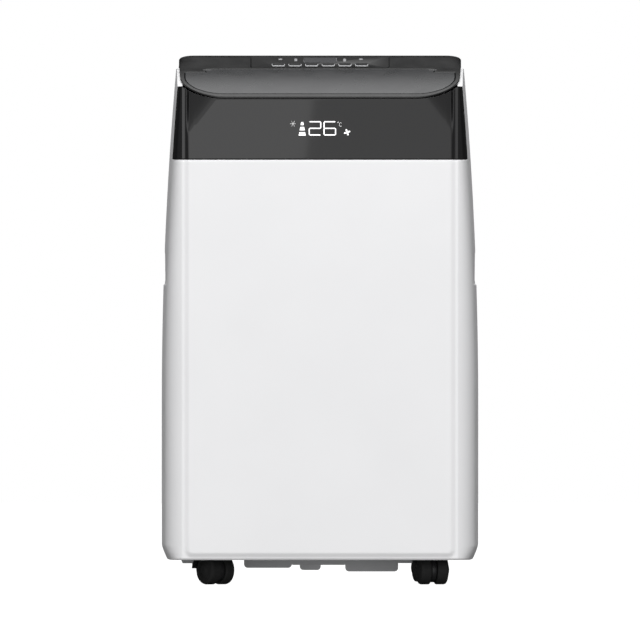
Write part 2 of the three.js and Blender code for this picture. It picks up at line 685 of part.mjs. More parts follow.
// The exhaust duct takes the hot air up from the throat and turns it to the rear.
function exhaustDuct() {
  const wide = throatSpan(HOT_BLOWER, WALL);
  const widest = throatSpan(HOT_BLOWER, WALL + THIN_WALL);
  const bottom = HOT_BLOWER.throat + GAP;
  const front = HOT_BLOWER.y[0] + THIN_WALL;
  const rear = HOT_BLOWER.y[1] - THIN_WALL;
  const outline = (wall) => {
    const roof = EXHAUST.z + EXHAUST.radius + wall;
    const floor = EXHAUST.z - EXHAUST.radius - wall;
    const rise = [[front - wall, bottom], [rear + wall, bottom], [rear + wall, floor], [DUCT_END, floor]];
    return polygon([...rise, [DUCT_END, roof], [front + 40 - wall, roof], [front - wall, roof - 40]]);
  };
  const outside = prism(outline(THIN_WALL), "x", widest);
  const inside = prism(outline(0), "x", wide);
  const end = common(box(ALL, [DUCT_END - THIN_WALL, DUCT_END], ALL_Z), outside);
  const port = rod("y", EXHAUST.radius - 1, [150, 170], [EXHAUST.x, EXHAUST.z], EXHAUST_SIDES);
  const seat = box(throatSpan(HOT_BLOWER, 0), [front, rear], [bottom - 5, bottom + 5]);
  return cut(join(cut(outside, inside), end), port, seat);
}

part("exhaust_duct", exhaustDuct(), GREY);

// ---------------------------------------------------------------- coils, compressor, pipes

function coil(z, finPitch) {
  const y = [112, 140];
  const block = box([-165, 165], y, z);
  const grooves = [];
  for (let x = -155; x < 155; x += finPitch) {
    grooves.push(box([x, x + finPitch / 2], [y[0] - 1, y[1] - 7], [z[0] + 6, z[1] - 6]));
  }
  const plates = [-1, 1].map((side) => box(side > 0 ? [164, 168] : [-168, -164], [108, 143], z));
  return join(cut(block, ...grooves), ...plates);
}

part("evaporator_coil", coil([446, 690], 22), ALUMINIUM);
part("condenser_coil", coil([64, 284], 22), ALUMINIUM);

const COMPRESSOR = { x: -122, y: -62, radius: 54, z: [62, 282] };
const ACCUMULATOR = { x: -122, y: 18, radius: 19, z: [110, 226] };

function vessel({ x, y, radius, z }, segments) {
  const [low, high] = z;
  const dome = radius * 0.45;
  const profile = [[0, low], [radius * 0.8, low + dome * 0.4], [radius, low + dome]];
  profile.push([radius, high - dome], [radius * 0.8, high - dome * 0.4], [0, high]);
  return lathe(profile, segments).translate([x, y, 0]);
}

function compressor() {
  const { x, y, z } = COMPRESSOR;
  const strap = box([x - 6, x + 6], [y + 50, ACCUMULATOR.y - 12], [160, 180]);
  const foot = rod("z", COMPRESSOR.radius + 10, [z[0] + 3, z[0] + 7], [x, y], 16);
  const neck = rod("z", 12, [z[1] - 8, z[1] + 4], [x, y]);
  return join(vessel(COMPRESSOR, 24), vessel(ACCUMULATOR, 16), strap, foot, neck);
}

part("compressor", compressor(), BLACK);

const dischargePoints = [
  [-122, -62, 286.5], [-122, -62, 310], [-128, -40, 330], [-148, 60, 332], [-156, 118, 325], [-157, 126, 306],
  [-157, 126, 284.4],
];
const suctionPoints = [
  [-122, 18, 226.4], [-122, 18, 262], [-116, 30, 300], [-124, 70, 350], [-148, 120, 390], [-150, 126, 412],
  [-150, 126, 445.6],
];
part("discharge_pipe", pipe(dischargePoints, 4, 22), COPPER);
part("suction_pipe", pipe(suctionPoints, 5, 24), COPPER);

// ---------------------------------------------------------------- deck between the cold and the hot side

function midDeck() {
  const above = [MID_DECK_Z - 1, MID_DECK_Z + 30];
  const tray = casing(WALL + 1, [MID_DECK_Z, MID_DECK_Z + 16]);
  const well = casing(WALL + THIN_WALL + 1, [MID_DECK_Z + 3, MID_DECK_Z + 30]);
  const cupSpan = [-HANDLE_Y - 5, HANDLE_Y + 5];
  const notches = [-1, 1].map((side) => box(outward(side, HANDLE_BACK - 3, 300), cupSpan, above));
  const { x, radius } = REAR_FEATURES.upperDrain;
  const drain = box([x - radius - 6, x + radius + 6], [160, 200], above);
  const passage = rod("z", 9, above, [-150, 126]);
  return cut(tray, well, ...notches, drain, passage);
}

part("mid_deck", midDeck(), PALE);

// ---------------------------------------------------------------- electrics

function electricalBox() {
  const block = box([58, 190], [-170, -110], [296, 414]);
  return cut(block, box([60, 188], [-175, -112], [298, 412]));
}

part("electrical_box", electricalBox(), STEEL);
part("power_board", box([64, 184], [-125, -123], [304, 406]), BOARD);
part("run_capacitor", rod("z", 21, [205, 290], [20, -146], 20), STEEL);
part("display_board", box([-60, 60], [-178, -176], [602, 655]), BOARD);

// ---------------------------------------------------------------- base pan

// Underside in front view: shallow strips and three deeper lugs, each with rounded lower corners.
const UNDERSIDE = [
  { x: [-105, -39], z: 22 },
  { x: [-42, 38], z: 26 },
  { x: [-28, 1], z: 19 },
  { x: [35, 108], z: 17 },
  { x: [104, 131], z: 28.5 },
];

function lug({ x, z }, inset) {
  const shape = roundedRectangle([x[0] + inset, x[1] - inset], [z + inset, PAN_Z + 12], 5);
  return prism(shape, "y", [-80 + inset, 80 - inset], 2);
}

function basePan() {
  const levels = [SKIRT_Z - 2, 38, 44, FOOT_Z, 75];
  const tray = common(casing(WALL + 1, levels), box(ALL, ALL, [PAN_Z, PAN_RIM]));
  const well = casing(WALL + THIN_WALL + 1, [PAN_Z + 3, 75]);
  const keelShape = polygon([[-168, PAN_Z + 2], [-174, 28], [-190, 28], [-198, PAN_Z + 2]]);
  const keel = prism(keelShape, "y", [-60, 60]);
  const below = box(ALL, ALL, [0, PAN_Z + 1]);
  const lugs = UNDERSIDE.map((place) => common(lug(place, 0), below));
  const sumps = UNDERSIDE.map((place) => lug(place, WALL));
  const stems = [];
  const bores = [];
  [-1, 1].forEach((sideX) => [-1, 1].forEach((sideY) => {
    const place = [sideX * STEM_X, sideY * STEM_Y];
    stems.push(rod("z", STEM_RADIUS + 6, [PAN_Z + 1, PAN_RIM], place));
    bores.push(rod("z", STEM_RADIUS + GAP * 2, [PAN_Z - 5, PAN_RIM - 2], place));
  }));
  return cut(join(cut(tray, well), keel, ...lugs, ...stems), ...sumps, ...bores);
}

part("base_pan", basePan(), GREY);

// ---------------------------------------------------------------- casters

const HOOD_RADIUS = 22;
const AXLE_RADIUS = 3;
const WEB = [-3.2, 3.2];

// Each caster in its own frame: the stem on the vertical axis, the wheels trailing it along +Y.
function casterFork() {
  const axle = [TRAIL, WHEEL_RADIUS];
  const hoodShape = new THREE.Shape();
  const [from, to] = [Math.PI * 0.36, Math.PI * 0.97];
  hoodShape.absarc(...axle, HOOD_RADIUS + 1, from, to, false);
  hoodShape.absarc(...axle, HOOD_RADIUS - 1, to, from, true);
  const hood = prism(hoodShape, "x", [-24, 24], 4);
  const web = rod("x", 17, WEB, axle, 16);
  const bridge = box(WEB, [0, TRAIL + 10], [WHEEL_RADIUS, 38]);
  const pins = rod("x", AXLE_RADIUS, [-20, 20], axle);
  const stem = rod("z", STEM_RADIUS, [40, 58], [0, 0]);
  const seat = cut(rod("z", 9, [36, 44], [0, 0]), rod("x", HOOD_RADIUS, [-30, 30], axle, 16));
  return join(hood, web, bridge, pins, stem, seat);
}

// A wheel on its axle, seen along the axis: tread, rounded shoulder, domed outer face.
function casterWheel(side) {
  const sides = 16;
  const tread = WHEEL_RADIUS / Math.cos(Math.PI / sides);
  const bore = [[0, 20.6], [3.4, 20.6], [3.4, 4]];
  const profile = [...bore, [tread - 1, 4], [tread, 6], [tread, 16], [16, 22], [0, 24]];
  const flatDown = 180 / sides;
  const wheel = lathe(profile, sides).rotate([0, 0, flatDown]);
  return wheel.rotate([0, side * 90, 0]).translate([0, TRAIL, WHEEL_RADIUS]);
}

const CASTERS = [
  { name: "front_left", x: -STEM_X, y: -STEM_Y, turn: 217 },
  { name: "front_right", x: STEM_X, y: -STEM_Y, turn: 192 },
  { name: "rear_left", x: -STEM_X, y: STEM_Y, turn: 196 },
  { name: "rear_right", x: STEM_X, y: STEM_Y, turn: 170 },
];

CASTERS.forEach(({ name, x, y, turn }) => {
  const frame = frameAt([x, y, 0], 0, THREE.MathUtils.degToRad(turn));
  part(`caster_fork_${name}`, casterFork(), BLACK, frame);
  part(`caster_wheel_${name}_a`, casterWheel(-1), BLACK, frame);
  part(`caster_wheel_${name}_b`, casterWheel(1), BLACK, frame);
});

export default airConditioner;
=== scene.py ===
"""A portable air conditioner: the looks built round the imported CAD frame.

Shapes are worked out in millimetres and turned into metres as each mesh is made.
The front faces -Y, +X is the viewer's right and the floor is z = 0.
"""

import json
import math

import bmesh
import bpy
import numpy as np
from mathutils import Matrix, Vector
from mathutils.geometry import delaunay_2d_cdt


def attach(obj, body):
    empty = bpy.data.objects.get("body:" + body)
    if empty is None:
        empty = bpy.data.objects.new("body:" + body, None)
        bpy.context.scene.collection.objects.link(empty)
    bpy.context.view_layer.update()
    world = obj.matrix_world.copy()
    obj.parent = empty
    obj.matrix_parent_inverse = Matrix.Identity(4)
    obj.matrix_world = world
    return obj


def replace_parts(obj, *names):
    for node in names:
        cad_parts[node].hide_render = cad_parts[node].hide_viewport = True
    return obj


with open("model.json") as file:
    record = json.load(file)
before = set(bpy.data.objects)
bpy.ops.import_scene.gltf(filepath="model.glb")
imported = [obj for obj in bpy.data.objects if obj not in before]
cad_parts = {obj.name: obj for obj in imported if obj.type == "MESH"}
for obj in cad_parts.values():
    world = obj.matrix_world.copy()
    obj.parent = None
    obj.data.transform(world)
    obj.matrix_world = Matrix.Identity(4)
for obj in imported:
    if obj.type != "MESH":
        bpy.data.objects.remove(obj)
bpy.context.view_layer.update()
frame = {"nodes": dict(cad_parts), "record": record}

MM = 0.001

# ---- driving dimensions

HEIGHT = 730
HALF_WIDTH = 219
HALF_DEPTH = 187.5
GAP = 0.4

SKIRT_Z = 34
FOOT_Z = 54
FOOT_INSET = 7.5
FRONT_FOOT = 2.2
FACE_LOW = 36.6
STRAIGHT_Z = 253
SHOULDER_Z = 712
SIDE_LEAN = 20
FRONT_LEAN = 5
SEAM_X = 214
SEAM_Y = 149.5
SIDE_BULGE = 5
REAR_CORNER = (32, 38)
GLASS_Z = 586.4

CREST_Y = -34
DECK_Y = -90
DECK_TILT = math.radians(18)
DECK_Z = HEIGHT - (CREST_Y - DECK_Y) * math.tan(DECK_TILT)
LID_SLOPE = 0.27
LID_CURVE = 0.0019
RIM = 3

COVER_X = 195.2
COVER_TAPER = 3.1
COVER_FRONT = -178.3
COVER_REAR = 182.5
COVER_CORNER = (62.5, 54.6)
COVER_REAR_CORNER = (25, 33)

LEFT, RIGHT = -1, 1
SIDES = ((LEFT, "left"), (RIGHT, "right"))


def lean(z):
    """How far the body has drawn in on its way up, from 0 to 1 at the shoulder."""
    return max(0, (z - STRAIGHT_Z) / (SHOULDER_Z - STRAIGHT_Z)) ** 2


def under(z, start):
    """How far the body has drawn in on its way down from a level, to 1 at the skirt."""
    return max(0, (start - z) / (start - SKIRT_Z)) ** 1.3


def foot(z):
    return FOOT_INSET * under(z, FOOT_Z)


def half_width(z):
    return HALF_WIDTH - SIDE_LEAN * lean(z) - foot(z)


def front_depth(z):
    return HALF_DEPTH - FRONT_LEAN * lean(z) - FRONT_FOOT * under(z, FACE_LOW)


def crown(y):
    """Height of the top along Y: level, then the tilted deck, then the curved lid."""
    if y >= CREST_Y:
        return HEIGHT
    if y >= DECK_Y:
        return HEIGHT - (CREST_Y - y) * math.tan(DECK_TILT)
    run = DECK_Y - y
    return DECK_Z - LID_SLOPE * run - LID_CURVE * run * run


def smooth(low, high, value):
    """0 below low, 1 above high, and an S curve between."""
    t = min(1, max(0, (value - low) / (high - low)))
    return t * t * (3 - 2 * t)


def grown(span, play):
    """A (low, high) span, longer at both ends."""
    return (span[0] - play, span[1] + play)


def spaced(low, high, step):
    """Evenly spaced numbers from low to high, at most step apart."""
    count = max(1, math.ceil((high - low) / step))
    return [low + (high - low) * i / count for i in range(count + 1)]


# ---- meshes


def placed(name, data):
    """A new object in the scene."""
    made = bpy.data.objects.new(name, data)
    bpy.context.scene.collection.objects.link(made)
    return made


def piece(name, points, faces, body="root", matrix=None):
    """A new object from points in millimetres, riding on a body."""
    mesh = bpy.data.meshes.new(name)
    mesh.from_pydata([Vector(p) * MM for p in points], [], faces)
    mesh.validate()
    if matrix is not None:
        mesh.transform(matrix)
    made = placed(name, mesh)
    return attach(made, body)


def edit(made, work):
    """Runs work on the object's bmesh and writes it back."""
    net = bmesh.new()
    net.from_mesh(made.data)
    work(net)
    net.to_mesh(made.data)
    net.free()


def weld(made):
    """Joins the points that lie in one place."""
    edit(made, lambda net: bmesh.ops.remove_doubles(net, verts=net.verts, dist=1e-6))
    return made


def outward(made):
    """Turns a closed piece's faces outwards."""
    edit(made, lambda net: bmesh.ops.recalc_face_normals(net, faces=net.faces))
    return made


def apply_modifiers(made):
    graph = bpy.context.evaluated_depsgraph_get()
    fresh = bpy.data.meshes.new_from_object(made.evaluated_get(graph))
    made.modifiers.clear()
    made.data = fresh


def round_edges(made, width, angle, segments=2, clamp=True):
    """Rounds the edges sharper than an angle in degrees; width is in millimetres."""
    edge = made.modifiers.new("edge", "BEVEL")
    edge.width = width * MM
    edge.segments = segments
    edge.limit_method = "ANGLE"
    edge.angle_limit = math.radians(angle)
    edge.use_clamp_overlap = clamp


def shade(made, angle):
    """Shades smooth, but for the edges sharper than an angle in degrees."""
    made.data.shade_smooth()
    made.data.set_sharp_from_angle(angle=math.radians(angle))


def finish(made, bevel=0.0, thickness=0.0, angle=35, segments=2):
    """Thickens a sheet inwards, rounds the sharp edges and shades the rest smooth."""
    if thickness:
        solid = made.modifiers.new("thickness", "SOLIDIFY")
        solid.thickness = thickness * MM
        solid.offset = -1
    if bevel:
        round_edges(made, bevel, angle, segments, clamp=not thickness)
    apply_modifiers(made)
    shade(made, angle)
    weights = made.modifiers.new("weights", "WEIGHTED_NORMAL")
    weights.keep_sharp = True
    apply_modifiers(made)
    return made


def inside(points, loop):
    """Which of the points lie inside the closed loop."""
    x, y = points[:, 0:1], points[:, 1:2]
    a = np.asarray(loop, float)
    b = np.roll(a, -1, axis=0)
    crosses = (a[:, 1] > y) != (b[:, 1] > y)
    rise = np.where(b[:, 1] == a[:, 1], 1, b[:, 1] - a[:, 1])
    reach = (b[:, 0] - a[:, 0]) * (y - a[:, 1]) / rise + a[:, 0]
    return (crosses & (x < reach)).sum(axis=1) % 2 == 1


def distance(points, loop):
    """How far each point is from the closed loop."""
    a = np.asarray(loop, float)
    side = np.roll(a, -1, axis=0) - a
    away = points[:, None, :] - a[None, :, :]
    along = (away * side).sum(axis=2) / np.maximum((side * side).sum(axis=1), 1e-9)
    nearest = away - np.clip(along, 0, 1)[:, :, None] * side
    return np.sqrt((nearest**2).sum(axis=2)).min(axis=1)


def dense(loop, step):
    """The closed loop with its long sides divided."""
    divided = []
    for i, (u, v) in enumerate(loop):
        next_u, next_v = loop[(i + 1) % len(loop)]
        count = max(1, math.ceil(math.hypot(next_u - u, next_v - v) / step))
        divided += [
            (u + (next_u - u) * k / count, v + (next_v - v) * k / count)
            for k in range(count)
        ]
    return divided


def grid(us, vs):
    return [(u, v) for u in us for v in vs]


def skin(name, outline, holes, places, lift, body="root", clear=1.5, flip=False):
    """A sheet over the outline, open at the holes; it and the places are lifted onto a surface."""
    loops = [outline, *holes]
    places = np.array(places, float)
    keep = inside(places, outline) & (distance(places, outline) > clear)
    for hole in holes:
        keep &= ~inside(places, hole) & (distance(places, hole) > clear)
    points = [Vector(p) for loop in loops for p in loop]
    points += [Vector(p) for p in places[keep]]
    edges = []
    start = 0
    for loop in loops:
        count = len(loop)
        edges += [(start + i, start + (i + 1) % count) for i in range(count)]
        start += count
    flat, _, faces, *_ = delaunay_2d_cdt(points, edges, [], 0, 1e-6)
    middles = np.array([sum((flat[i] for i in f), Vector((0, 0))) / len(f) for f in faces])
    wanted = inside(middles, outline)
    for hole in holes:
        wanted &= ~inside(middles, hole)
    kept = [f[::-1] if flip else f for f, good in zip(faces, wanted) if good]
    return piece(name, [lift(*p) for p in flat], kept, body)


def skirt(made, bottom):
    """Walls down from every open edge of a sheet; bottom gives a wall's foot, in millimetres."""

    def work(net):
        net.faces.ensure_lookup_table()
        face = max(net.faces, key=lambda f: f.calc_area())
        up = face.normal.copy()
        rim = [e for e in net.edges if e.is_boundary]
        added = bmesh.ops.extrude_edge_only(net, edges=rim)["geom"]
        for vertex in added:
            if isinstance(vertex, bmesh.types.BMVert):
                vertex.co = Vector(bottom(*(vertex.co / MM))) * MM
        bmesh.ops.recalc_face_normals(net, faces=net.faces)
        if face.normal.dot(up) < 0:
            bmesh.ops.reverse_faces(net, faces=net.faces)

    edit(made, work)
    return made


def loft(name, rings, body="root", matrix=None, caps=True, closed=True):
    """A skin through rings of equal length."""
    count = len(rings[0])
    points = [p for ring in rings for p in ring]
    faces = []
    for r in range(len(rings) - 1):
        for i in range(count if closed else count - 1):
            k = (i + 1) % count
            a, b = r * count, (r + 1) * count
            faces.append((a + i, b + i, b + k, a + k))
    if caps:
        faces.append(tuple(range(count)))
        faces.append(tuple((len(rings) - 1) * count + i for i in range(count))[::-1])
    made = piece(name, points, faces, body, matrix)
    return outward(made) if caps else made


def towards(start, end, reach):
    """A place at a distance from the start, on the way to the end."""
    start = Vector(start)
    return start + (Vector(end) - start).normalized() * reach


def strip_ring(outer, inner, top, depth):
    """The four corners of a strip that is cut across."""
    low = top - depth
    return [(*outer, top), (*inner, top), (*inner, low), (*outer, low)]


def lathe(name, profile, matrix, body="root", segments=64):
    """A turned piece: the closed profile of (radius, height) spun about the local Z."""
    rings = []
    for radius, height in [*profile, profile[0]]:
        turns = [2 * math.pi * i / segments for i in range(segments)]
        rings.append([(radius * math.cos(t), radius * math.sin(t), height) for t in turns])
    return outward(weld(loft(name, rings, body, matrix, caps=False)))


def prism(name, outline, span, body="root", matrix=None, bevel=0.4):
    """An outline in local XY, made solid between two heights."""
    rings = [[(x, y, z) for x, y in outline] for z in span]
    return finish(loft(name, rings, body, matrix), bevel)


def bars(name, boxes, body="root"):
    """Many straight bars in one mesh, each given by (middle, size, tilt about X)."""
    points, faces = [], []
    for middle, size, tilt in boxes:
        turn = Matrix.Rotation(tilt, 3, "X")
        start = len(points)
        for i in range(8):
            corner = [(1 if i >> k & 1 else -1) * size[k] / 2 for k in range(3)]
            points.append(Vector(middle) + turn @ Vector(corner))
        sides = [(0, 2, 3, 1), (4, 5, 7, 6), (0, 1, 5, 4), (2, 6, 7, 3), (0, 4, 6, 2), (1, 3, 7, 5)]
        faces += [tuple(start + k for k in side) for side in sides]
    return outward(piece(name, points, faces, body))


def soften(node, body="root", width=0.6, angle=25):
    """A CAD node with the same shape and rounded edges, standing for the node."""
    made = placed(f"{node}_soft", frame["nodes"][node].data.copy())
    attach(made, body)

    def work(net):
        bmesh.ops.remove_doubles(net, verts=net.verts, dist=1e-5)
        bmesh.ops.dissolve_limit(
            net, angle_limit=math.radians(1), verts=net.verts, edges=net.edges
        )

    edit(made, work)
    made.data.materials.clear()
    round_edges(made, width, angle)
    apply_modifiers(made)
    shade(made, angle)
    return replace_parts(made, node)


def elbow(middle, radii, start, steps):
    """A quarter of an ellipse, counterclockwise from an angle in degrees."""
    (x, y), (wide, high) = middle, radii
    turns = [math.radians(start + 90 * i / steps) for i in range(steps + 1)]
    return [(x + wide * math.cos(t), y + high * math.sin(t)) for t in turns]


def rounded(x, y, radius, steps=6):
    """A rounded rectangle between two x and two y values, counterclockwise."""
    (x0, x1), (y0, y1) = grown(x, -radius), grown(y, -radius)
    middles = ((x1, y1), (x0, y1), (x0, y0), (x1, y0))
    loop = []
    for i, middle in enumerate(middles):
        loop += elbow(middle, (radius, radius), 90 * i, steps)
    return loop


def mirrored(half):
    """A whole outline from its right half, which runs from the front to the rear."""
    return half + [(-x, y) for x, y in reversed(half)]


def circle(x, y, radius, steps=64):
    turns = [2 * math.pi * i / steps for i in range(steps)]
    return [(x + radius * math.cos(t), y + radius * math.sin(t)) for t in turns]


# ---- materials


def material(name, colour, roughness, metallic=0.0, ior=1.5, emission=None):
    """A new node material, with its shader's values set."""
    made = bpy.data.materials.new(name)
    made.use_nodes = True
    shader = made.node_tree.nodes["Principled BSDF"]
    shader.inputs["Base Color"].default_value = (*colour, 1)
    shader.inputs["Roughness"].default_value = roughness
    shader.inputs["Metallic"].default_value = metallic
    shader.inputs["IOR"].default_value = ior
    if emission:
        shader.inputs["Emission Color"].default_value = (1, 1, 1, 1)
        shader.inputs["Emission Strength"].default_value = emission
    return made


def add_node(made, kind, **values):
    node = made.node_tree.nodes.new(kind)
    for key, value in values.items():
        node.inputs[key].default_value = value
    return node


def noise(made, scale, detail=3.0):
    """Noise fixed to the object, with scale in cycles a metre."""
    where = add_node(made, "ShaderNodeTexCoord")
    field = add_node(made, "ShaderNodeTexNoise", Scale=scale, Detail=detail)
    made.node_tree.links.new(where.outputs["Object"], field.inputs["Vector"])
    return field


def set_stops(node, stops):
    """Sets a colour ramp's (position, grey or colour) stops."""
    elements = node.color_ramp.elements
    while len(elements) < len(stops):
        elements.new(0.5)
    for element, (position, tone) in zip(elements, stops):
        element.position = position
        element.color = (*tone, 1) if isinstance(tone, tuple) else (tone, tone, tone, 1)


def ramp(made, source, stops):
    """A colour ramp driven by another node's output."""
    node = add_node(made, "ShaderNodeValToRGB")
    set_stops(node, stops)
    made.node_tree.links.new(source, node.inputs["Fac"])
    return node


def feed(made, output, socket):
    """Links a node's output to one of the shader's inputs."""
    shader = made.node_tree.nodes["Principled BSDF"]
    made.node_tree.links.new(output, shader.inputs[socket])


def tinted(colour, factor):
    return tuple(min(1, c * factor) for c in colour)


def grain(made, scale, strength, distance):
    """A fine raised grain."""
    bump = add_node(made, "ShaderNodeBump", Strength=strength, Distance=distance)
    field = noise(made, scale, 4)
    made.node_tree.links.new(field.outputs["Fac"], bump.inputs["Height"])
    feed(made, bump.outputs["Normal"], "Normal")


def cloudy(made, colour, spread, scale):
    """Slow drifts of colour, with edges rubbed a little lighter."""
    field = noise(made, scale, 2)
    tones = [(0.3, tinted(colour, 1 - spread)), (0.7, tinted(colour, 1 + spread))]
    drift = ramp(made, field.outputs["Fac"], tones)
    shape = add_node(made, "ShaderNodeNewGeometry")
    worn = ramp(made, shape.outputs["Pointiness"], [(0.54, 0.0), (0.65, 0.35)])
    mix = add_node(made, "ShaderNodeMix")
    mix.data_type = "RGBA"
    join = made.node_tree.links.new
    join(worn.outputs["Color"], mix.inputs["Factor"])
    join(drift.outputs["Color"], mix.inputs["A"])
    mix.inputs["B"].default_value = (*tinted(colour, 1.35), 1)
    feed(made, mix.outputs["Result"], "Base Color")


def sheen(made, roughness, spread, scale):
    """Roughness that wanders round its mean, as handling and moulding leave it."""
    field = noise(made, scale, 3)
    drift = ramp(made, field.outputs["Fac"], [(0.35, roughness - spread), (0.65, roughness + spread)])
    feed(made, drift.outputs["Color"], "Roughness")


def plastic(name, colour, roughness, grain_size=0.9, depth=0.012, spread=0.04, ior=1.5):
    """Moulded plastic with a fine texture; grain_size and depth are in millimetres."""
    made = material(name, colour, roughness, ior=ior)
    cloudy(made, colour, spread, 9)
    sheen(made, roughness, 0.03, 40)
    grain(made, 1 / (grain_size * MM), 0.35, depth * MM)
    return made


def metal(name, colour, roughness, scale=120):
    made = material(name, colour, roughness, metallic=1.0)
    cloudy(made, colour, 0.1, 30)
    sheen(made, roughness, 0.1, scale)
    grain(made, 900, 0.2, 0.01 * MM)
    return made


def glass_material():
    """Dark glossy acrylic: a clear surface over near-black, with faint wipe marks."""
    made = material("lens_black_acrylic", (0.012, 0.012, 0.0125), 0.025, ior=1.5)
    sheen(made, 0.025, 0.005, 25)
    field = noise(made, 6, 2)
    colours = [(0.3, (0.0115, 0.0115, 0.012)), (0.7, (0.0135, 0.0135, 0.014))]
    drift = ramp(made, field.outputs["Fac"], colours)
    feed(made, drift.outputs["Color"], "Base Color")
    return made


def glowing(name, strength):
    """Lit display segments, a touch uneven as light guides are."""
    made = material(name, (0.8, 0.8, 0.8), 0.5, emission=strength)
    field = noise(made, 300, 2)
    drift = ramp(made, field.outputs["Fac"], [(0.3, 0.92), (0.7, 1.0)])
    feed(made, drift.outputs["Color"], "Emission Color")
    return made


MATERIALS = {
    "casing_white": plastic("casing_white_plastic", (0.84, 0.84, 0.85), 0.42, depth=0.006, spread=0.01),
    "cover_dark": plastic("cover_dark_plastic", (0.0105, 0.0107, 0.011), 0.34, depth=0.0015),
    "flap_grey": plastic("flap_grey_plastic", (0.046, 0.047, 0.049), 0.3, depth=0.0015),
    "key_black": plastic("key_black_plastic", (0.012, 0.012, 0.013), 0.35),
    "grey_plastic": plastic("grey_moulded_plastic", (0.36, 0.363, 0.37), 0.55),
    "caster_black": plastic("caster_black_plastic", (0.014, 0.014, 0.015), 0.4),
    "rubber_black": plastic("rubber_black", (0.012, 0.012, 0.012), 0.75),
    "inner_plastic": plastic("inner_dark_plastic", (0.03, 0.03, 0.032), 0.6),
    "fan_black": plastic("fan_black_plastic", (0.015, 0.015, 0.016), 0.5),
    "motor_steel": metal("motor_steel", (0.42, 0.43, 0.44), 0.35),
    "coil_aluminium": metal("coil_aluminium", (0.6, 0.61, 0.62), 0.32),
    "compressor_paint": plastic("compressor_black_paint", (0.02, 0.02, 0.022), 0.3, 2.5, 0.03),
    "copper": metal("copper_tube", (0.72, 0.36, 0.2), 0.28),
    "circuit_board": plastic("circuit_board_green", (0.02, 0.14, 0.06), 0.35, 1.5, 0.02),
    "lens_black": glass_material(),
    "display_glow": glowing("display_glow", 1.0),
    "display_dim": glowing("display_dim", 0.45),
    # A light grey for the strip along each key's front edge: a painted highlight of its lit front bevel.
    "painted_key_highlight": plastic("painted_key_highlight_plastic", (0.62, 0.625, 0.635), 0.25, 0.5, 0.004),
    "print_grey": plastic("print_grey", (0.3, 0.3, 0.31), 0.5),
    # Near black and barely glossy: the painted shadow on the deck in front of each key.
    "painted_key_shadow": plastic("painted_key_shadow", (0.003, 0.003, 0.003), 0.9, ior=1.03),
    "window_grey": plastic("window_grey", (0.075, 0.076, 0.08), 0.25),
}


def paint(made, slot):
    """Gives a piece the material kept under a slot's name."""
    made.data.materials.clear()
    made.data.materials.append(MATERIALS[slot])
    return made


def slot_of(node):
    """The record's material slot of a CAD node."""
    return next(p["material_slot"] for p in frame["record"]["subparts"] if p["node"] == node)


for node_name, node_object in frame["nodes"].items():
    for place in node_object.material_slots:
        place.material = MATERIALS[slot_of(node_name)]


# ---- front: panel and lens

FACE_EDGE = 187.8
LIP_EDGE = 190.2
ROLL = 8.4
RISE = 2.5
FACE_CORNER = 11.5
BRIM_CORNER = (63.5, 54.6)
BRIM_X = 196
BRIM_FRONT = -178
BRIM_SWEEP = math.radians(65)
LIP_TURN = math.radians(24)
LIP_PULL = 14
SEAM_TURN = math.radians(3.8)
SEAM_PULL = 19
CORNER_COLUMNS = 16
FINE_FROM = 174
BEND_FROM = 130


def brim_front(x):
    """Height of the panels' top edge in front of the cover's corner."""
    corner_x, corner_y = BRIM_CORNER
    reach = (abs(x) - BRIM_X + corner_x) / corner_x
    turn = min(BRIM_SWEEP, math.asin(min(1, max(0, reach))))
    y = BRIM_FRONT + corner_y - corner_y * math.cos(turn)
    return crown(y) - RIM - GAP


def face_distance(x, z):
    """How far a point is inside the raised face's outline, which is open at the top."""
    across = FACE_EDGE - FACE_CORNER - abs(x)
    up = z - FACE_LOW - FACE_CORNER
    if across > 0 or up > 0:
        return min(across, up) + FACE_CORNER
    return FACE_CORNER - math.hypot(across, up)


def face_relief(x, z):
    """How far the surface lies behind the flat face: it rolls off, then meets a narrow lip."""
    return RISE * (1 - smooth(0, ROLL, face_distance(x, z)))


def corner_curve(t, z):
    """The body's front corner at a height, from the lip at t = 0 to the side seam at t = 1."""
    start = Vector((LIP_EDGE, RISE - front_depth(z)))
    end = Vector((SEAM_X * half_width(z) / HALF_WIDTH, -SEAM_Y - GAP))
    reach = min(LIP_PULL, 0.62 * (end.x - start.x) / math.cos(LIP_TURN))
    first = start + Vector((math.cos(LIP_TURN), math.sin(LIP_TURN))) * reach
    last = end - Vector((math.sin(SEAM_TURN), math.cos(SEAM_TURN))) * SEAM_PULL
    s = 1 - t
    return start * s**3 + first * 3 * s * s * t + last * 3 * s * t * t + end * t**3


def front_columns():
    """Columns across the front: (x, None) on the face, (side, t) round each corner."""
    right = spaced(BEND_FROM, FINE_FROM, 4)[:-1] + spaced(FINE_FROM, LIP_EDGE, 0.75)
    face = [-x for x in reversed(right)] + spaced(-BEND_FROM, BEND_FROM, 26)[1:-1] + right
    corner = [(i + 1) / CORNER_COLUMNS for i in range(CORNER_COLUMNS)]
    far_left = [(LEFT, t) for t in reversed(corner)]
    far_right = [(RIGHT, t) for t in corner]
    return far_left + [(x, None) for x in face] + far_right


def front_point(column, z, relief):
    x, t = column
    if t is None:
        return (x, relief(x, z) - front_depth(z), z)
    place = corner_curve(t, z)
    sink = relief(LIP_EDGE, z) - RISE
    return (x * place.x, place.y + sink * (1 - t), z)


def front_sheet(name, heights, relief):
    """A sheet over the front; heights(column) gives the levels of one column."""
    columns = front_columns()
    rings = [[front_point(c, z, relief) for z in heights(c)] for c in columns]
    return loft(name, rings, caps=False, closed=False)


PANEL_TOP = GLASS_Z - GAP
PANEL_TUCK = (4, 0.8)
LENS_TUCK = (1.5, 0.5)


def panel_relief(x, z):
    """The face, drawn in a little towards the panel's top edge."""
    height, depth = PANEL_TUCK
    return face_relief(x, z) + max(0, (z - PANEL_TOP + height) / height) ** 2 * depth


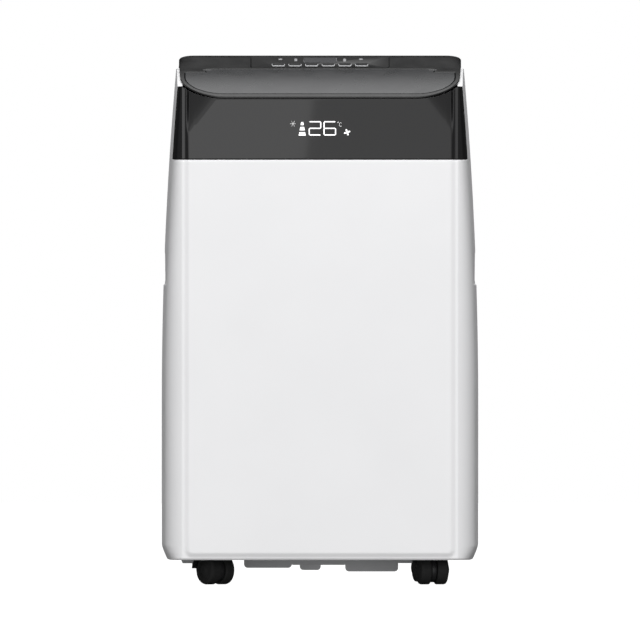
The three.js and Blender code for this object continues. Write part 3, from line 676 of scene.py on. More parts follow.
def build_front_panel():
    levels = [*spaced(SKIRT_Z, 62, 0.85), *spaced(62, 300, 30)[1:], *spaced(300, 570, 22)[1:]]
    levels += [576, 580, 582, 583, 584, 585, PANEL_TOP]
    made = front_sheet("front_panel_shell", lambda column: levels, panel_relief)
    finish(made, bevel=0.5, thickness=2.8)
    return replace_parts(paint(made, "casing_white"), "front_panel")


FACET_START = Vector((181, 628))
FACET_END = Vector((147, 672))
FACET_SLOPE = 0.3
FACET_SOFT = 4
FACET_FADE = (180, 184)
FACET_LIFT = 0.02


def facet(x, z):
    """The lens's upper corners are cut back beyond a slanting line."""
    along = (FACET_END - FACET_START).normalized()
    out = Vector((-along.y, along.x)) * -1
    away = (Vector((abs(x), z)) - FACET_START).dot(out)
    if away <= -6 * FACET_SOFT:
        return 0
    drop = FACET_SLOPE * (away + math.hypot(away, FACET_SOFT)) / 2
    return (drop - FACET_SLOPE * FACET_LIFT) * (1 - smooth(*FACET_FADE, abs(x)))


def lens_relief(x, z):
    """The face with the lens's facets, drawn in a little towards its bottom edge."""
    height, depth = LENS_TUCK
    return face_relief(x, z) + facet(x, z) + max(0, (GLASS_Z + height - z) / height) ** 2 * depth


def build_lens():
    def heights(column):
        x, t = column
        top = brim_front(LIP_EDGE if t is not None else x)
        rows = [0, 0.004, 0.009, 0.015] + [0.02 + 0.98 * i / 40 for i in range(41)]
        return [GLASS_Z + (top - GLASS_Z) * r for r in rows]

    made = front_sheet("display_lens_shell", heights, lens_relief)
    finish(made, bevel=0.35, thickness=2.4)
    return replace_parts(paint(made, "lens_black"), "display_lens")


build_front_panel()
build_lens()

# ---- display on the lens

DISPLAY_PROUD = 0.15
DISPLAY_SUNK = 0.3


def on_lens(name, loops, slot="display_glow"):
    """Thin lit shapes lying just proud of the lens, from outlines in x and z."""
    points, faces = [], []
    for loop in loops:
        for out in (DISPLAY_PROUD, -DISPLAY_SUNK):
            faces.append(tuple(range(len(points), len(points) + len(loop))))
            points += [(x, -front_depth(z) - out, z) for x, z in loop]
        count = len(loop)
        start = len(points) - 2 * count
        for i in range(count):
            k = (i + 1) % count
            faces.append((start + i, start + k, start + count + k, start + count + i))
    made = outward(piece(name, points, faces))
    return paint(made, slot)


def stroke(start, end, width):
    """A straight stroke with pointed ends, as a display segment has."""
    a, b = Vector(start), Vector(end)
    along = (b - a).normalized()
    across = Vector((-along.y, along.x)) * width / 2
    return [
        a + along * width * 0.1,
        a + along * width * 0.5 - across,
        b - along * width * 0.5 - across,
        b - along * width * 0.1,
        b - along * width * 0.5 + across,
        a + along * width * 0.5 + across,
    ]


DIGIT = {"2": "abged", "6": "afgedc"}
DIGIT_TOP = 638.3
DIGIT_HEIGHT = 18.2
DIGIT_WIDTH = 15.8
DIGITS = (("2", -14.8), ("6", 5.6))
SEGMENT = 1.5
CONE_X = -24.5
CONE_TIERS = ((619.2, 624.0, 5.0, 3.8), (626.4, 631.2, 3.6, 2.5), (633.6, 637.8, 2.2, 1.4))
FAN_BLADE = ((0.3, -0.5), (2.2, -1.2), (4.3, -0.9), (4.5, 0.6), (2.6, 1.2), (0.3, 0.5))


def digit(character, left):
    """The lit segments of a seven-segment digit."""
    right, low = left + DIGIT_WIDTH, DIGIT_TOP - DIGIT_HEIGHT
    middle = DIGIT_TOP - DIGIT_HEIGHT / 2
    ends = {
        "a": ((left, DIGIT_TOP), (right, DIGIT_TOP)),
        "b": ((right, middle), (right, DIGIT_TOP)),
        "c": ((right, low), (right, middle)),
        "d": ((left, low), (right, low)),
        "e": ((left, low), (left, middle)),
        "f": ((left, middle), (left, DIGIT_TOP)),
        "g": ((left, middle), (right, middle)),
    }
    return [stroke(*ends[s], SEGMENT) for s in DIGIT[character]]


def cone():
    """Three stacked bars, narrowing upwards, that show the fan's level."""
    loops = []
    for low, high, low_half, high_half in CONE_TIERS:
        corners = ((-low_half, low), (low_half, low), (high_half, high), (-high_half, high))
        loops.append([(CONE_X + x, z) for x, z in corners])
    return loops


def snowflake(x, z, radius=4.1, lines=3, width=0.35):
    """Crossed lines through one middle."""
    middle = Vector((x, z))
    loops = []
    for i in range(lines):
        turn = math.pi * i / lines
        reach = Vector((math.cos(turn), math.sin(turn))) * radius
        loops.append(stroke(middle - reach, middle + reach, width))
    return loops


def fan_sign(x, z):
    """Four rounded blades round a hub."""
    middle = Vector((x, z))
    loops = []
    for i in range(4):
        turn = math.pi / 2 * i + 0.35
        out = Vector((math.cos(turn), math.sin(turn)))
        across = Vector((-out.y, out.x))
        loops.append([middle + out * a + across * b for a, b in FAN_BLADE])
    return loops


def celsius(x, z):
    """A degree mark and a C."""
    turns = [math.radians(40 + 40 * i) for i in range(8)]
    arc = [(x + 3.4 + 1.8 * math.cos(t), z - 3.2 + 2.7 * math.sin(t)) for t in turns]
    return [circle(x, z, 0.7, 10)] + [stroke(a, b, 0.5) for a, b in zip(arc, arc[1:])]


on_lens("display_digits", [loop for number, left in DIGITS for loop in digit(number, left)])
on_lens("display_cone", cone())
on_lens("display_fan_sign", fan_sign(37.4, 623.8))
on_lens("display_snowflake", snowflake(-37.2, 635.5), "display_dim")
on_lens("display_celsius", celsius(24.9, 637.6), "display_dim")

# ---- side panels and handles

HANDLE_Y = 55
HANDLE_Z = (418, 457)
HANDLE_CORNER = 10
HANDLE_BACK = 172
GRIP_Z = (414, 461)
GRIP_Y = 139.5
GRIP_DEPTH = 2.2
GRIP_FADE = 4


def side_x(y, z):
    """The body's half width at a place on its side."""
    bulge = SIDE_BULGE * (1 - min(1, abs(y) / SEAM_Y) ** 2)
    return (SEAM_X + bulge) * half_width(z) / HALF_WIDTH


def grip(y, z):
    """Depth of the shallow finger scoop round the handle."""
    low, high = GRIP_Z
    if not low - 2 < z < high:
        return 0
    fall = GRIP_DEPTH * (high - z) / (high - low)
    return fall * smooth(low - 1.5, low + 0.5, z) * (1 - smooth(GRIP_Y - GRIP_FADE, GRIP_Y, abs(y)))


def side_brim(y):
    """Height of the side panels' top edge."""
    return min(SHOULDER_Z, crown(y) - RIM) - GAP


def build_side(side, name):
    edge = SEAM_Y - GAP
    tops = [(y, side_brim(y)) for y in spaced(-edge, edge, 6)]
    outline = dense([(-edge, SKIRT_Z), (edge, SKIRT_Z), *reversed(tops)], 8)
    hole = dense(rounded((-HANDLE_Y, HANDLE_Y), HANDLE_Z, HANDLE_CORNER), 6)
    fade = [GRIP_Y - inset for inset in (3, 2, 1)]
    step = [GRIP_Z[0] + rise for rise in (-3, -1.4, -0.8, -0.1, 0.6, 2)]
    ys = [*spaced(-144, 144, 8), *[-y for y in fade], *fade]
    zs = [*spaced(SKIRT_Z, FOOT_Z, 2.5), *spaced(60, 408, 12), *step]
    zs += [*spaced(420, GRIP_Z[1], 6), GRIP_Z[1] + 4, *spaced(474, 706, 12)]

    def lift(y, z):
        return (side * (side_x(y, z) - grip(y, z)), y, z)

    made = skin(f"{name}_shell", outline, [hole], grid(ys, zs), lift, flip=side == LEFT)
    finish(made, bevel=0.5, thickness=2.6)
    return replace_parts(paint(made, "casing_white"), name)


def build_handle(side, name):
    """A pocket: an outer shell, a rounded mouth and a floor, lofted through rounded rectangles."""
    low, high = HANDLE_Z

    def ring(inset, x):
        """One rounded rectangle, at a depth or, without one, just under the panel's surface."""
        across = (inset - HANDLE_Y, HANDLE_Y - inset)
        loop = dense(rounded(across, (low + inset, high - inset), HANDLE_CORNER - inset, 5), 12)
        return [(side * (x or side_x(y, z) - grip(y, z) - 0.3), y, z) for y, z in loop]

    rings = [ring(GAP, HANDLE_BACK), ring(GAP, None), ring(2.2, None)]
    rings += [ring(3.2, HANDLE_BACK + 5), ring(4.4, HANDLE_BACK + 2.5)]
    made = finish(loft(f"{name}_shell", rings), bevel=0.5)
    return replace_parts(paint(made, "grey_plastic"), name)


for which, label in SIDES:
    build_side(which, f"{label}_side_panel")
    build_handle(which, f"{label}_handle_cup")

# ---- rear panel

UPPER_FILTER = ((-160, 160), (470, 690))
LOWER_FILTER = ((-110, 165), (70, 275))
EXHAUST = (120, 352)
EXHAUST_RADIUS = 56
UPPER_DRAIN = (-140, 437)
LOWER_DRAIN = (-150, 76)
GLAND = (-150, 150)
CORNER_LENGTH = 55
REAR_FLAT = HALF_WIDTH - SIDE_BULGE - REAR_CORNER[0]
REAR_SEAM = REAR_FLAT + CORNER_LENGTH
FILTER_CORNER = 8
COLLAR_WALL = 5
COLLAR_BACK, FLANGE_FRONT, COLLAR_FRONT = 168, 171, 187.4
DRAIN_HOLE = 9.4
GLAND_HOLE = 11.2


def rear_point(s, z):
    """A place on the back: s runs across it and on round the corners to the side seams."""
    turn = max(0, abs(s) - REAR_FLAT) / CORNER_LENGTH * math.pi / 2
    x = min(abs(s), REAR_FLAT) + REAR_CORNER[0] * math.sin(turn)
    y = SEAM_Y + REAR_CORNER[1] * math.cos(turn)
    rear = HALF_DEPTH - foot(z) / 2
    x = math.copysign(x, s) * half_width(z) / HALF_WIDTH
    return (x, max(SEAM_Y + GAP, y * rear / HALF_DEPTH), z)


def widened(loop):
    """A loop in x and z, moved to the rear panel's own s and z."""
    return [(x * HALF_WIDTH / half_width(z), z) for x, z in loop]


def build_rear():
    edge, top = REAR_SEAM, SHOULDER_Z - GAP
    outline = dense([(-edge, SKIRT_Z), (edge, SKIRT_Z), (edge, top), (-edge, top)], 8)
    holes = []
    for x, z in (UPPER_FILTER, LOWER_FILTER):
        holes.append(rounded(grown(x, GAP), grown(z, GAP), FILTER_CORNER + GAP))
    holes.append(circle(*EXHAUST, EXHAUST_RADIUS + COLLAR_WALL + GAP))
    for place, radius in ((UPPER_DRAIN, DRAIN_HOLE), (LOWER_DRAIN, DRAIN_HOLE), (GLAND, GLAND_HOLE)):
        holes.append(circle(*place, radius, 32))
    holes = [dense(widened(hole), 8) for hole in holes]
    bend = spaced(REAR_FLAT, edge, 4)[1:-1]
    us = [*spaced(-REAR_FLAT, REAR_FLAT, 13), *bend, *[-u for u in bend]]
    vs = [*spaced(SKIRT_Z, FOOT_Z, 2.5), *spaced(62, 706, 12)]
    made = skin("rear_panel_shell", outline, holes, grid(us, vs), rear_point, flip=True)
    finish(made, bevel=0.5, thickness=2.6)
    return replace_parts(paint(made, "casing_white"), "rear_panel")


build_rear()

FRAME_WIDTH = 10
FRAME_Y = (175.5, 187)
LOUVRE_PITCH = 8
LOUVRE_Y = 182.6
LOUVRE_TILT = math.radians(32)
POST_PITCH = 78
POST_Y = 182.2
NET_PITCH = 4
NET_WIRE = 0.5
NET_Y = (176.7, 177.2)


def build_filter(name, span):
    """A pull-out intake grille: a frame, tilted louvres, a mullion and a fine net behind."""
    (x0, x1), (z0, z1) = span
    back, front = FRAME_Y
    outer = rounded((x0, x1), (z0, z1), FILTER_CORNER)
    inner = rounded(grown((x0, x1), -FRAME_WIDTH), grown((z0, z1), -FRAME_WIDTH), 4)
    rings = []
    for loop, y in ((outer, back), (outer, front), (inner, front), (inner, back), (outer, back)):
        rings.append([(x, y, z) for x, z in loop])
    made = weld(loft(f"{name}_frame", rings, name, caps=False))
    finish(outward(made), bevel=0.8)
    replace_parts(paint(made, "casing_white"), name)
    middle_x, middle_z = (x0 + x1) / 2, (z0 + z1) / 2
    width = x1 - x0 - 2 * FRAME_WIDTH + 1
    height = z1 - z0 - 2 * FRAME_WIDTH + 1
    rows = spaced(z0 + FRAME_WIDTH + 4, z1 - FRAME_WIDTH - 4, LOUVRE_PITCH)
    posts = spaced(x0 + 12, x1 - 12, POST_PITCH)[1:-1]
    slats = [((middle_x, LOUVRE_Y, z), (width, 1.4, 6.4), LOUVRE_TILT) for z in rows]
    slats += [((x, POST_Y, middle_z), (3, 7, height), 0) for x in posts]
    paint(finish(bars(f"{name}_louvres", slats, name), bevel=0.3), "casing_white")
    rows = spaced(z0 + 12, z1 - 12, NET_PITCH)
    columns = spaced(x0 + 12, x1 - 12, NET_PITCH)
    wires = [((middle_x, NET_Y[1], z), (width, NET_WIRE, NET_WIRE), 0) for z in rows]
    wires += [((x, NET_Y[0], middle_z), (NET_WIRE, NET_WIRE, height), 0) for x in columns]
    paint(bars(f"{name}_net", wires, name), "inner_plastic")


build_filter("upper_filter", UPPER_FILTER)
build_filter("lower_filter", LOWER_FILTER)


def build_exhaust():
    """A collar turned about an axis that points out of the back."""
    inner, outer, flange = (EXHAUST_RADIUS + wall for wall in (0, COLLAR_WALL, 2 * COLLAR_WALL))
    edge = COLLAR_FRONT - 1.1
    profile = [(inner, COLLAR_BACK), (flange, COLLAR_BACK), (flange, FLANGE_FRONT)]
    profile += [(outer, FLANGE_FRONT), (outer, edge), (outer - 1.2, COLLAR_FRONT)]
    profile += [(inner + 1.2, COLLAR_FRONT), (inner, edge), (inner, 180)]
    x, z = EXHAUST
    out = Matrix.Translation(Vector((x, 0, z)) * MM) @ Matrix.Rotation(-math.pi / 2, 4, "X")
    made = lathe("exhaust_collar_ring", profile, out, segments=96)
    finish(made, bevel=0.3)
    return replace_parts(paint(made, "grey_plastic"), "exhaust_collar")


build_exhaust()

# ---- top cover and flap

EDGE_X, EDGE_Z = 20, 6
CREST_ROUND = 10
REAR_EDGE = 14
FLAP_X = 186
FLAP_FRONT = -171
FLAP_CORNER = (52, 45)
FLAP_WING_Y = -106.8
FLAP_TONGUE = 157
FLAP_REAR = -92.3
FLAP_PLAY = 0.8
FLAP_HINGE = (-96, 708.6)
FLAP_PIN = [(0, 150), (2, 150), (2, 161), (1.5, 161.8), (0, 161.8)]
PANEL_X = 95
PANEL_DECK = (5, 54)


def cover_height(x, y):
    """The crown, with its crest rounded and its sides and rear rolled off."""
    drop = 0
    from_crest = y - CREST_Y
    if abs(from_crest) < CREST_ROUND:
        drop = math.tan(DECK_TILT) * (CREST_ROUND - from_crest) ** 2 / (4 * CREST_ROUND)
        drop += min(0, from_crest) * math.tan(DECK_TILT)
    over = min(1, (abs(x) - cover_side(y) + EDGE_X) / EDGE_X)
    if over > 0:
        drop += EDGE_Z * (1 - math.sqrt(1 - over * over)) * smooth(DECK_Y, CREST_Y, y)
    if y > COVER_REAR - REAR_EDGE:
        over = min(1, (y - COVER_REAR + REAR_EDGE) / REAR_EDGE)
        drop = max(drop, REAR_EDGE * (1 - math.sqrt(1 - over * over)))
    return crown(y) - drop


def cover_side(y):
    """The cover's half width along Y."""
    return COVER_X - COVER_TAPER * min(1, abs(y) / SEAM_Y) ** 2


def cover_outline():
    """The cover from above, counterclockwise from its front right corner."""
    start = COVER_FRONT + COVER_CORNER[1]
    end = COVER_REAR - COVER_REAR_CORNER[1]
    half = elbow((cover_side(start) - COVER_CORNER[0], start), COVER_CORNER, -90, 14)
    half += [(cover_side(y), y) for y in spaced(start, end, 9)[1:-1]]
    half += elbow((cover_side(SEAM_Y) - COVER_REAR_CORNER[0], end), COVER_REAR_CORNER, 0, 8)
    return dense(mirrored(half), 3)


def flap_outline(play=0.0):
    """The outlet flap from above: wide, with elliptical front corners and a hinge tongue."""
    wide, high = FLAP_CORNER
    half = elbow((FLAP_X - wide, FLAP_FRONT + high), (wide + play, high + play), -90, 12)
    for x, y in ((FLAP_X, FLAP_WING_Y), (FLAP_TONGUE, FLAP_WING_Y), (FLAP_TONGUE, FLAP_REAR)):
        half.append((x + play, y + play))
    return dense(mirrored(half), 6)


def deck_rows(low, high):
    """Y values of two places on the tilted deck, given along it."""
    return [DECK_Y + d * math.cos(DECK_TILT) for d in (low, high)]


def build_cover():
    low, high = deck_rows(PANEL_DECK[0] - GAP, PANEL_DECK[1] + GAP)
    panel_hole = dense(rounded((-PANEL_X - GAP, PANEL_X + GAP), (low, high), 4), 8)
    inner = COVER_X - EDGE_X - SIDE_BULGE
    crest_rows = spaced(-46, -22, 2)
    level_rows = [*spaced(-176, -48, 6), *spaced(-12, 160, 10)]
    quarter = [math.sin(math.pi / 2 * i / 7) for i in range(7)]
    roll_rows = [COVER_REAR - REAR_EDGE * (1 - q) for q in quarter]
    places = grid(spaced(-inner, inner, 5), crest_rows)
    places += grid(spaced(-inner, inner, 10), level_rows)
    places += grid(spaced(-COVER_X, COVER_X, 3), roll_rows)
    for y in spaced(-176, COVER_REAR - REAR_EDGE - 3, 3):
        across = [cover_side(y) - EDGE_X * (1 - q) for q in quarter]
        places += [(side * x, y) for x in across for side in (LEFT, RIGHT)]
    outline = cover_outline()
    holes = [flap_outline(FLAP_PLAY), panel_hole]

    def lift(x, y):
        return (x, y, cover_height(x, y))

    made = skin("top_cover_shell", outline, holes, places, lift, clear=0.8)

    def bottom(x, y, z):
        """The rim reaches down to the panels; the holes' walls are short."""
        if distance(np.array([(x, y)]), outline)[0] < 1:
            return (x, y, min(SHOULDER_Z, crown(y) - RIM) + 0.2)
        return (x, y, z - 4)

    skirt(made, bottom)
    finish(made, bevel=0.9, thickness=2.2, angle=40, segments=3)
    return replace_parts(paint(made, "cover_dark"), "top_cover")


def build_flap():
    """The flap's plate, with a hinge pin at each end."""
    places = grid(spaced(-180, 180, 12), spaced(-169, -94, 4))

    def lift(x, y):
        return (x, y, crown(y))

    made = skin("outlet_flap_plate", flap_outline(), [], places, lift, "flap")
    finish(made, bevel=0.9, thickness=3, segments=3)
    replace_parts(paint(made, "flap_grey"), "outlet_flap")
    hinge = Matrix.Translation(Vector((0, *FLAP_HINGE)) * MM)
    for side, label in SIDES:
        along = hinge @ Matrix.Rotation(side * math.pi / 2, 4, "Y")
        pin = lathe(f"flap_pin_{label}", FLAP_PIN, along, "flap", 24)
        paint(finish(pin, bevel=0.1), "flap_grey")


build_cover()
build_flap()

# ---- ledges between the panels and the cover

LEDGE = 2.2
LEDGE_BACK = 1.2
LEDGE_SUNK = 0.05
TUCK = 2.5


def build_ledge(name, stations, slot):
    """A flat ledge from a panel's top edge in under the cover; stations are (outer, inner, height)."""
    rings = [strip_ring(towards(a, b, LEDGE_BACK), b, z, LEDGE) for a, b, z in stations]
    paint(finish(loft(name, rings)), slot)


def lens_stations():
    """Along the lens, from the left seam to the right one."""
    corner_x, corner_y = COVER_CORNER
    stations = []
    for x, t in front_columns():
        z = brim_front(LIP_EDGE if t is not None else x)
        outer = front_point((x, t), z, lens_relief)[:2]
        if t is None:
            reach = max(0, abs(x) - COVER_X + corner_x) / corner_x
            y = COVER_FRONT + corner_y * (1 - math.sqrt(1 - reach * reach)) + TUCK
            inner = (x, min(-SEAM_Y - GAP, y))
        else:
            inner = (x * (LIP_EDGE + (COVER_X - TUCK - LIP_EDGE) * t), -SEAM_Y - GAP)
        stations.append((outer, inner, z - LEDGE_SUNK))
    return stations


def side_stations(side):
    """Along a side panel, from the front seam to the rear one."""
    edge = SEAM_Y - GAP
    stations = []
    for y in spaced(-edge, edge, 6):
        z = side_brim(y) - LEDGE_SUNK
        stations.append(((side * side_x(y, z), y), (side * (cover_side(y) - TUCK), y), z))
    return stations


def rear_stations():
    """Round the rear panel, from seam to seam."""
    z = SHOULDER_Z - GAP - LEDGE_SUNK
    stations = []
    for s in spaced(-REAR_SEAM, REAR_SEAM, 3):
        outer = rear_point(s, z)[:2]
        x = max(-COVER_X + 3 * TUCK, min(COVER_X - 3 * TUCK, outer[0]))
        inner = (x, max(SEAM_Y + GAP, min(COVER_REAR - TUCK, outer[1] - 7)))
        stations.append((outer, inner, z))
    return stations


build_ledge("display_lens_ledge", lens_stations(), "lens_black")
for which, label in SIDES:
    build_ledge(f"{label}_side_ledge", side_stations(which), "casing_white")
build_ledge("rear_ledge", rear_stations(), "casing_white")

# ---- control panel and keys

deck = Matrix.Translation(Vector((0, DECK_Y, DECK_Z)) * MM) @ Matrix.Rotation(DECK_TILT, 4, "X")
KEYS = ("power", "mode", "down", "up", "fan", "timer")
KEY_PITCH = 23
KEY_SIZE = (18, 12)
KEY_MIDDLE = 15
KEY_CORNER = 2.5
KEY_PROUD = 1.8
KEY_SUNK = 1.6
KEY_RINGS = ((0.35, -KEY_SUNK), (0.35, KEY_PROUD - 0.7), (0.7, KEY_PROUD - 0.15))
KEY_RINGS += ((1.2, KEY_PROUD - 0.05), (2, KEY_PROUD - 0.3))
# How far in front of each key the black strip of painted shadow reaches, from and to.
KEY_SHADOW_SPAN = (3.7, 0.25)
# Width and depth of the light grey strip along each key's front, a painted highlight.
KEY_HIGHLIGHT_WIDTH = 1.2
KEY_HIGHLIGHT_DEPTH = 1.4


def on_deck(name, outline, slot="print_grey"):
    """A thin printed or inlaid shape lying on the control panel, or a strip of painted shadow."""
    made = prism(name, outline, (-0.4, 0.12), matrix=deck, bevel=0)
    return paint(made, slot)


def build_key(index, name):
    """A dished black cap; a light grey strip along its front and the front of its sides is a painted
    highlight, and a black strip on the deck in front is a painted shadow.
    """
    middle = (index - (len(KEYS) - 1) / 2) * KEY_PITCH
    x = (middle - KEY_SIZE[0] / 2, middle + KEY_SIZE[0] / 2)
    y = (KEY_MIDDLE - KEY_SIZE[1] / 2, KEY_MIDDLE + KEY_SIZE[1] / 2)
    body = f"button_{name}"

    rings = []
    for inset, z in KEY_RINGS:
        loop = rounded(grown(x, -inset), grown(y, -inset), KEY_CORNER - inset, 5)
        rings.append([(a, b, z) for a, b in loop])
    cap = loft(f"{body}_cap", rings, body, deck)
    paint(finish(cap), "key_black")
    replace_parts(cap, body)
    # The path of the light grey strip of painted highlight: down the front of each side and across the
    # front.
    path = [(x[0], y[0] + 6, KEY_PROUD), (x[0], y[0] + 4.5, KEY_PROUD - 0.1)]
    for turn in spaced(180, 270, 18):
        angle = math.radians(turn)
        bend = Vector((1 + math.cos(angle), 1 + math.sin(angle))) * KEY_CORNER
        path.append((x[0] + bend.x, y[0] + bend.y, KEY_PROUD - 0.25))
    path += [(2 * middle - a, b, c) for a, b, c in reversed(path)]
    rings = []
    for a, b, c in path:
        inner = towards((a, b), (middle, KEY_MIDDLE), KEY_HIGHLIGHT_WIDTH)
        rings.append(strip_ring((a, b), inner, c, KEY_HIGHLIGHT_DEPTH))
    painted_highlight = loft(f"{body}_trim", rings, body, deck)
    paint(finish(painted_highlight, bevel=0.12), "painted_key_highlight")
    # A black strip on the deck in front of the key: a painted shadow along the foot of its front.
    shadow = rounded(grown(x, -0.3), (y[0] - KEY_SHADOW_SPAN[0], y[0] - KEY_SHADOW_SPAN[1]), 1)
    on_deck(f"{body}_painted_front_shadow", shadow, "painted_key_shadow")


for order, key in enumerate(KEYS):
    build_key(order, key)

paint(soften("control_panel", width=0.4), "cover_dark")

WINDOW_X = (-22.7, 23.5)
WINDOW_Y = (27, 49)
MARKS = (
    ("power", -54.8, 42, 2.6, 3),
    ("mode", -33.4, 39, 1.9, 6),
    ("fan", 34, 38, 1.9, 6.5),
    ("timer", 56.5, 42, 2.6, 3),
)

on_deck("deck_window", rounded(WINDOW_X, WINDOW_Y, 1.5), "window_grey")
for label, edge_x in (("left", WINDOW_X[0]), ("right", WINDOW_X[1] - 1)):
    on_deck(f"deck_window_{label}_end", rounded((edge_x, edge_x + 1), grown(WINDOW_Y, -1), 0.4))
for label, mark_x, mark_y, half_x, half_y in MARKS:
    across = (mark_x - half_x, mark_x + half_x)
    on_deck(f"deck_mark_{label}", rounded(across, (mark_y - half_y, mark_y + half_y), 1.7))

# ---- running gear

WHEEL_RADIUS = 20
TRAIL = 13
STEM = (152, 125)
TREAD = [(3.4, 4), (17, 4), (19.2, 4.3), (20, 5.6), (20, 16), (19.2, 18.2), (17, 19.6)]
DISH = [(14.5, 20.4), (13.2, 19.6), (10, 20.4), (7, 22.4), (5, 23), (0, 23.2), (0, 20.6), (3.4, 20.6)]
TURNS = {
    "front_left": (LEFT, -1, 217),
    "front_right": (RIGHT, -1, 192),
    "rear_left": (LEFT, 1, 196),
    "rear_right": (RIGHT, 1, 170),
}


def build_caster(name):
    """A twin-wheel caster: hooded fork, stem and two dished wheels."""
    side, end, turn = TURNS[name]
    place = Vector((side * STEM[0], end * STEM[1], 0)) * MM
    local = Matrix.Translation(place) @ Matrix.Rotation(math.radians(turn), 4, "Z")
    axle = local @ Matrix.Translation(Vector((0, TRAIL, WHEEL_RADIUS)) * MM)
    for letter, way in (("a", -1), ("b", 1)):
        wheel_name = f"caster_wheel_{name}_{letter}"
        spin = axle @ Matrix.Rotation(way * math.pi / 2, 4, "Y")
        wheel = lathe(f"{wheel_name}_tread", TREAD + DISH, spin, wheel_name, 72)
        paint(finish(wheel, bevel=0.25), "rubber_black")
        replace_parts(wheel, wheel_name)
    body = f"caster_{name}"
    hood = soften(f"caster_fork_{name}", body, width=0.5, angle=30)
    paint(hood, "caster_black")


for caster in TURNS:
    build_caster(caster)

paint(soften("base_pan", width=0.8), "grey_plastic")

for plug_name in ("upper_drain_plug", "lower_drain_plug"):
    paint(soften(plug_name, plug_name, width=0.4), slot_of(plug_name))
paint(soften("cord_gland", width=0.4), slot_of("cord_gland"))

# ---- floor, light and camera


FLOOR_REACH = 9000


def build_floor():
    """A wide white floor that takes no dark shadow; diffuse and glossy rays don't see it."""
    corners = [(x * FLOOR_REACH, y * FLOOR_REACH, 0) for x, y in ((-1, -1), (1, -1), (1, 1), (-1, 1))]
    made = piece("floor", corners, [(0, 1, 2, 3)])
    finish_floor = material("floor_white", (0.1, 0.1, 0.1), 0.9, emission=1.0)
    sheen(finish_floor, 0.9, 0.03, 3)
    made.data.materials.append(finish_floor)
    made.visible_diffuse = False
    made.visible_glossy = False


WORLD_SCALE = 2.5
MATT_FRONT = [(0, 1.1), (0.06, 1.05), (0.25, 0.9), (0.37, 0.22), (0.5, 0), (0.75, 0.04), (0.9, 0.7), (1, 1)]
MATT_ABOVE = [(0.5, 0), (0.78, 0), (0.87, 0.7), (0.95, 1.1), (1, 1.1)]
MATT_BELOW = [(0, 0.25), (0.3, 0.45), (0.47, 1), (1, 1)]
GLOSS_FRONT = [(0, 1.06), (0.012, 1.02), (0.05, 0.6), (0.13, 0.1), (0.25, 0.12), (0.5, 0.14)]
GLOSS_FRONT += [(0.8, 0.02), (1, 0.02)]
GLOSS_ABOVE = [(0.5, 0), (0.84, 0), (0.89, 1), (0.94, 2.2), (1, 2.2)]
GLOSS_BELOW = [(0, 0.3), (0.3, 0.5), (0.45, 1), (1, 1)]


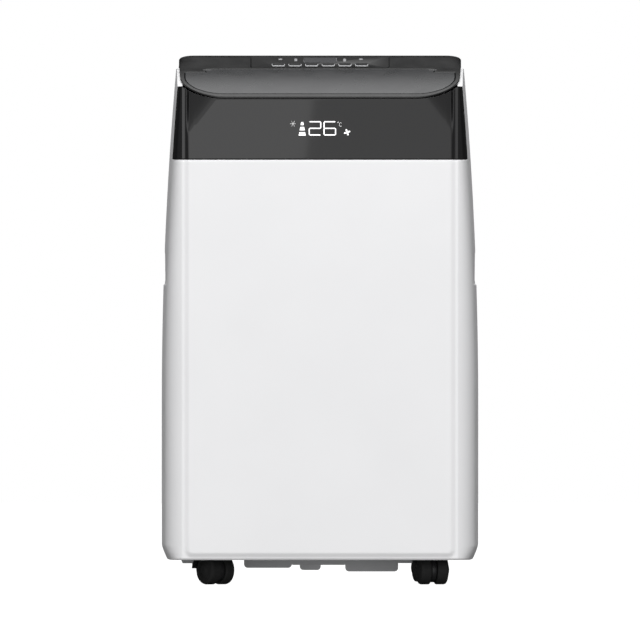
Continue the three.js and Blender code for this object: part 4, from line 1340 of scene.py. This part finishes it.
def build_world():
    """A soft studio, in levels of light by direction; gloss sees a narrower one than matt."""
    world = bpy.data.worlds.new("studio")
    bpy.context.scene.world = world
    world.use_nodes = True
    nodes = world.node_tree.nodes
    join = world.node_tree.links.new
    where = add_node(world, "ShaderNodeTexCoord")
    parts = add_node(world, "ShaderNodeSeparateXYZ")
    join(where.outputs["Generated"], parts.inputs["Vector"])

    def level(axis, stops):
        """Light level along one axis of the direction; stops are (position, level)."""
        span = add_node(world, "ShaderNodeMapRange", **{"From Min": -1})
        join(parts.outputs[axis], span.inputs["Value"])
        tones = [(position, tone / WORLD_SCALE) for position, tone in stops]
        curve = ramp(world, span.outputs["Result"], tones)
        curve.color_ramp.interpolation = "EASE"
        return curve.outputs["Color"]

    def blend(kind, first, second):
        node = add_node(world, "ShaderNodeMix")
        node.data_type = "RGBA"
        node.blend_type = kind
        node.inputs["Factor"].default_value = 1
        join(first, node.inputs["A"])
        join(second, node.inputs["B"])
        return node.outputs["Result"]

    def surround(front, above, below):
        """Light from the front and from above, dimmed towards the floor."""
        total = blend("ADD", level("Y", front), level("Z", above))
        dimmed = blend("MULTIPLY", total, level("Z", [(p, v * WORLD_SCALE) for p, v in below]))
        lit = add_node(world, "ShaderNodeBackground", Strength=WORLD_SCALE)
        join(dimmed, lit.inputs["Color"])
        return lit.outputs["Background"]

    def choose(ray, otherwise, when):
        """One shader for a kind of ray, and another for the rest."""
        path = add_node(world, "ShaderNodeLightPath")
        mix = add_node(world, "ShaderNodeMixShader")
        join(path.outputs[ray], mix.inputs["Fac"])
        join(otherwise, mix.inputs[1])
        join(when, mix.inputs[2])
        return mix.outputs["Shader"]

    white = nodes["Background"]
    white.inputs["Color"].default_value = (1, 1, 1, 1)
    matt = surround(MATT_FRONT, MATT_ABOVE, MATT_BELOW)
    gloss = surround(GLOSS_FRONT, GLOSS_ABOVE, GLOSS_BELOW)
    seen = choose("Is Camera Ray", choose("Is Glossy Ray", matt, gloss), white.outputs["Background"])
    join(seen, nodes["World Output"].inputs["Surface"])


def build_lamp(name, size, energy):
    """A flat lamp of a width and a height in metres, which shines along its local -Z."""
    light = bpy.data.lights.new(name, "AREA")
    light.shape = "RECTANGLE"
    light.size, light.size_y = size
    light.energy = energy
    return placed(name, light)


def aim_at(made, target):
    """Turns a lamp or a camera towards a point."""
    made.rotation_euler = (target - made.location).to_track_quat("-Z", "Y").to_euler()


SOFTBOX_EDGE = Vector((-0.0530, -6, 0.4))
SOFTBOX_SLANT = math.radians(4.8)


def build_lamps():
    """Three lamps light the object.

    The softbox in front on the left shows its slanting edge in the lens. The fill is for the
    matt surfaces alone. The top light fades the white face from top to bottom.
    """
    size = (4, 1.6)
    softbox = build_lamp("softbox", size, 12.8)
    leftwards = Vector((-math.cos(SOFTBOX_SLANT), 0, math.sin(SOFTBOX_SLANT)))
    softbox.location = SOFTBOX_EDGE + leftwards * size[0] / 2
    softbox.rotation_euler = (math.radians(90), SOFTBOX_SLANT, 0)

    fill = build_lamp("fill", (4, 4), 22)
    fill.location = (0, -6, 1)
    fill.rotation_euler = (math.radians(90), 0, 0)
    fill.visible_glossy = False

    top_light = build_lamp("top_light", (1.4, 0.5), 9)
    top_light.location = (0, -1.5, 1.9)
    aim_at(top_light, Vector((0, -0.19, 0.35)))


CAMERA_AWAY = 40
CAMERA_AT = Vector((0, -CAMERA_AWAY, 0.60))
CAMERA_AIM = Vector((0, 0, 0.364))
VIEW_WIDTH = 0.886
SENSOR = 36


def build_camera():
    """A long lens, which takes in VIEW_WIDTH metres at the object."""
    lens = bpy.data.cameras.new("camera")
    lens.sensor_width = SENSOR
    lens.lens = SENSOR * CAMERA_AWAY / VIEW_WIDTH
    lens.clip_end = 200
    made = placed("camera", lens)
    made.location = CAMERA_AT
    aim_at(made, CAMERA_AIM)
    bpy.context.scene.camera = made


build_floor()
build_world()
build_lamps()
build_camera()
bpy.context.scene.view_settings.view_transform = "Standard"
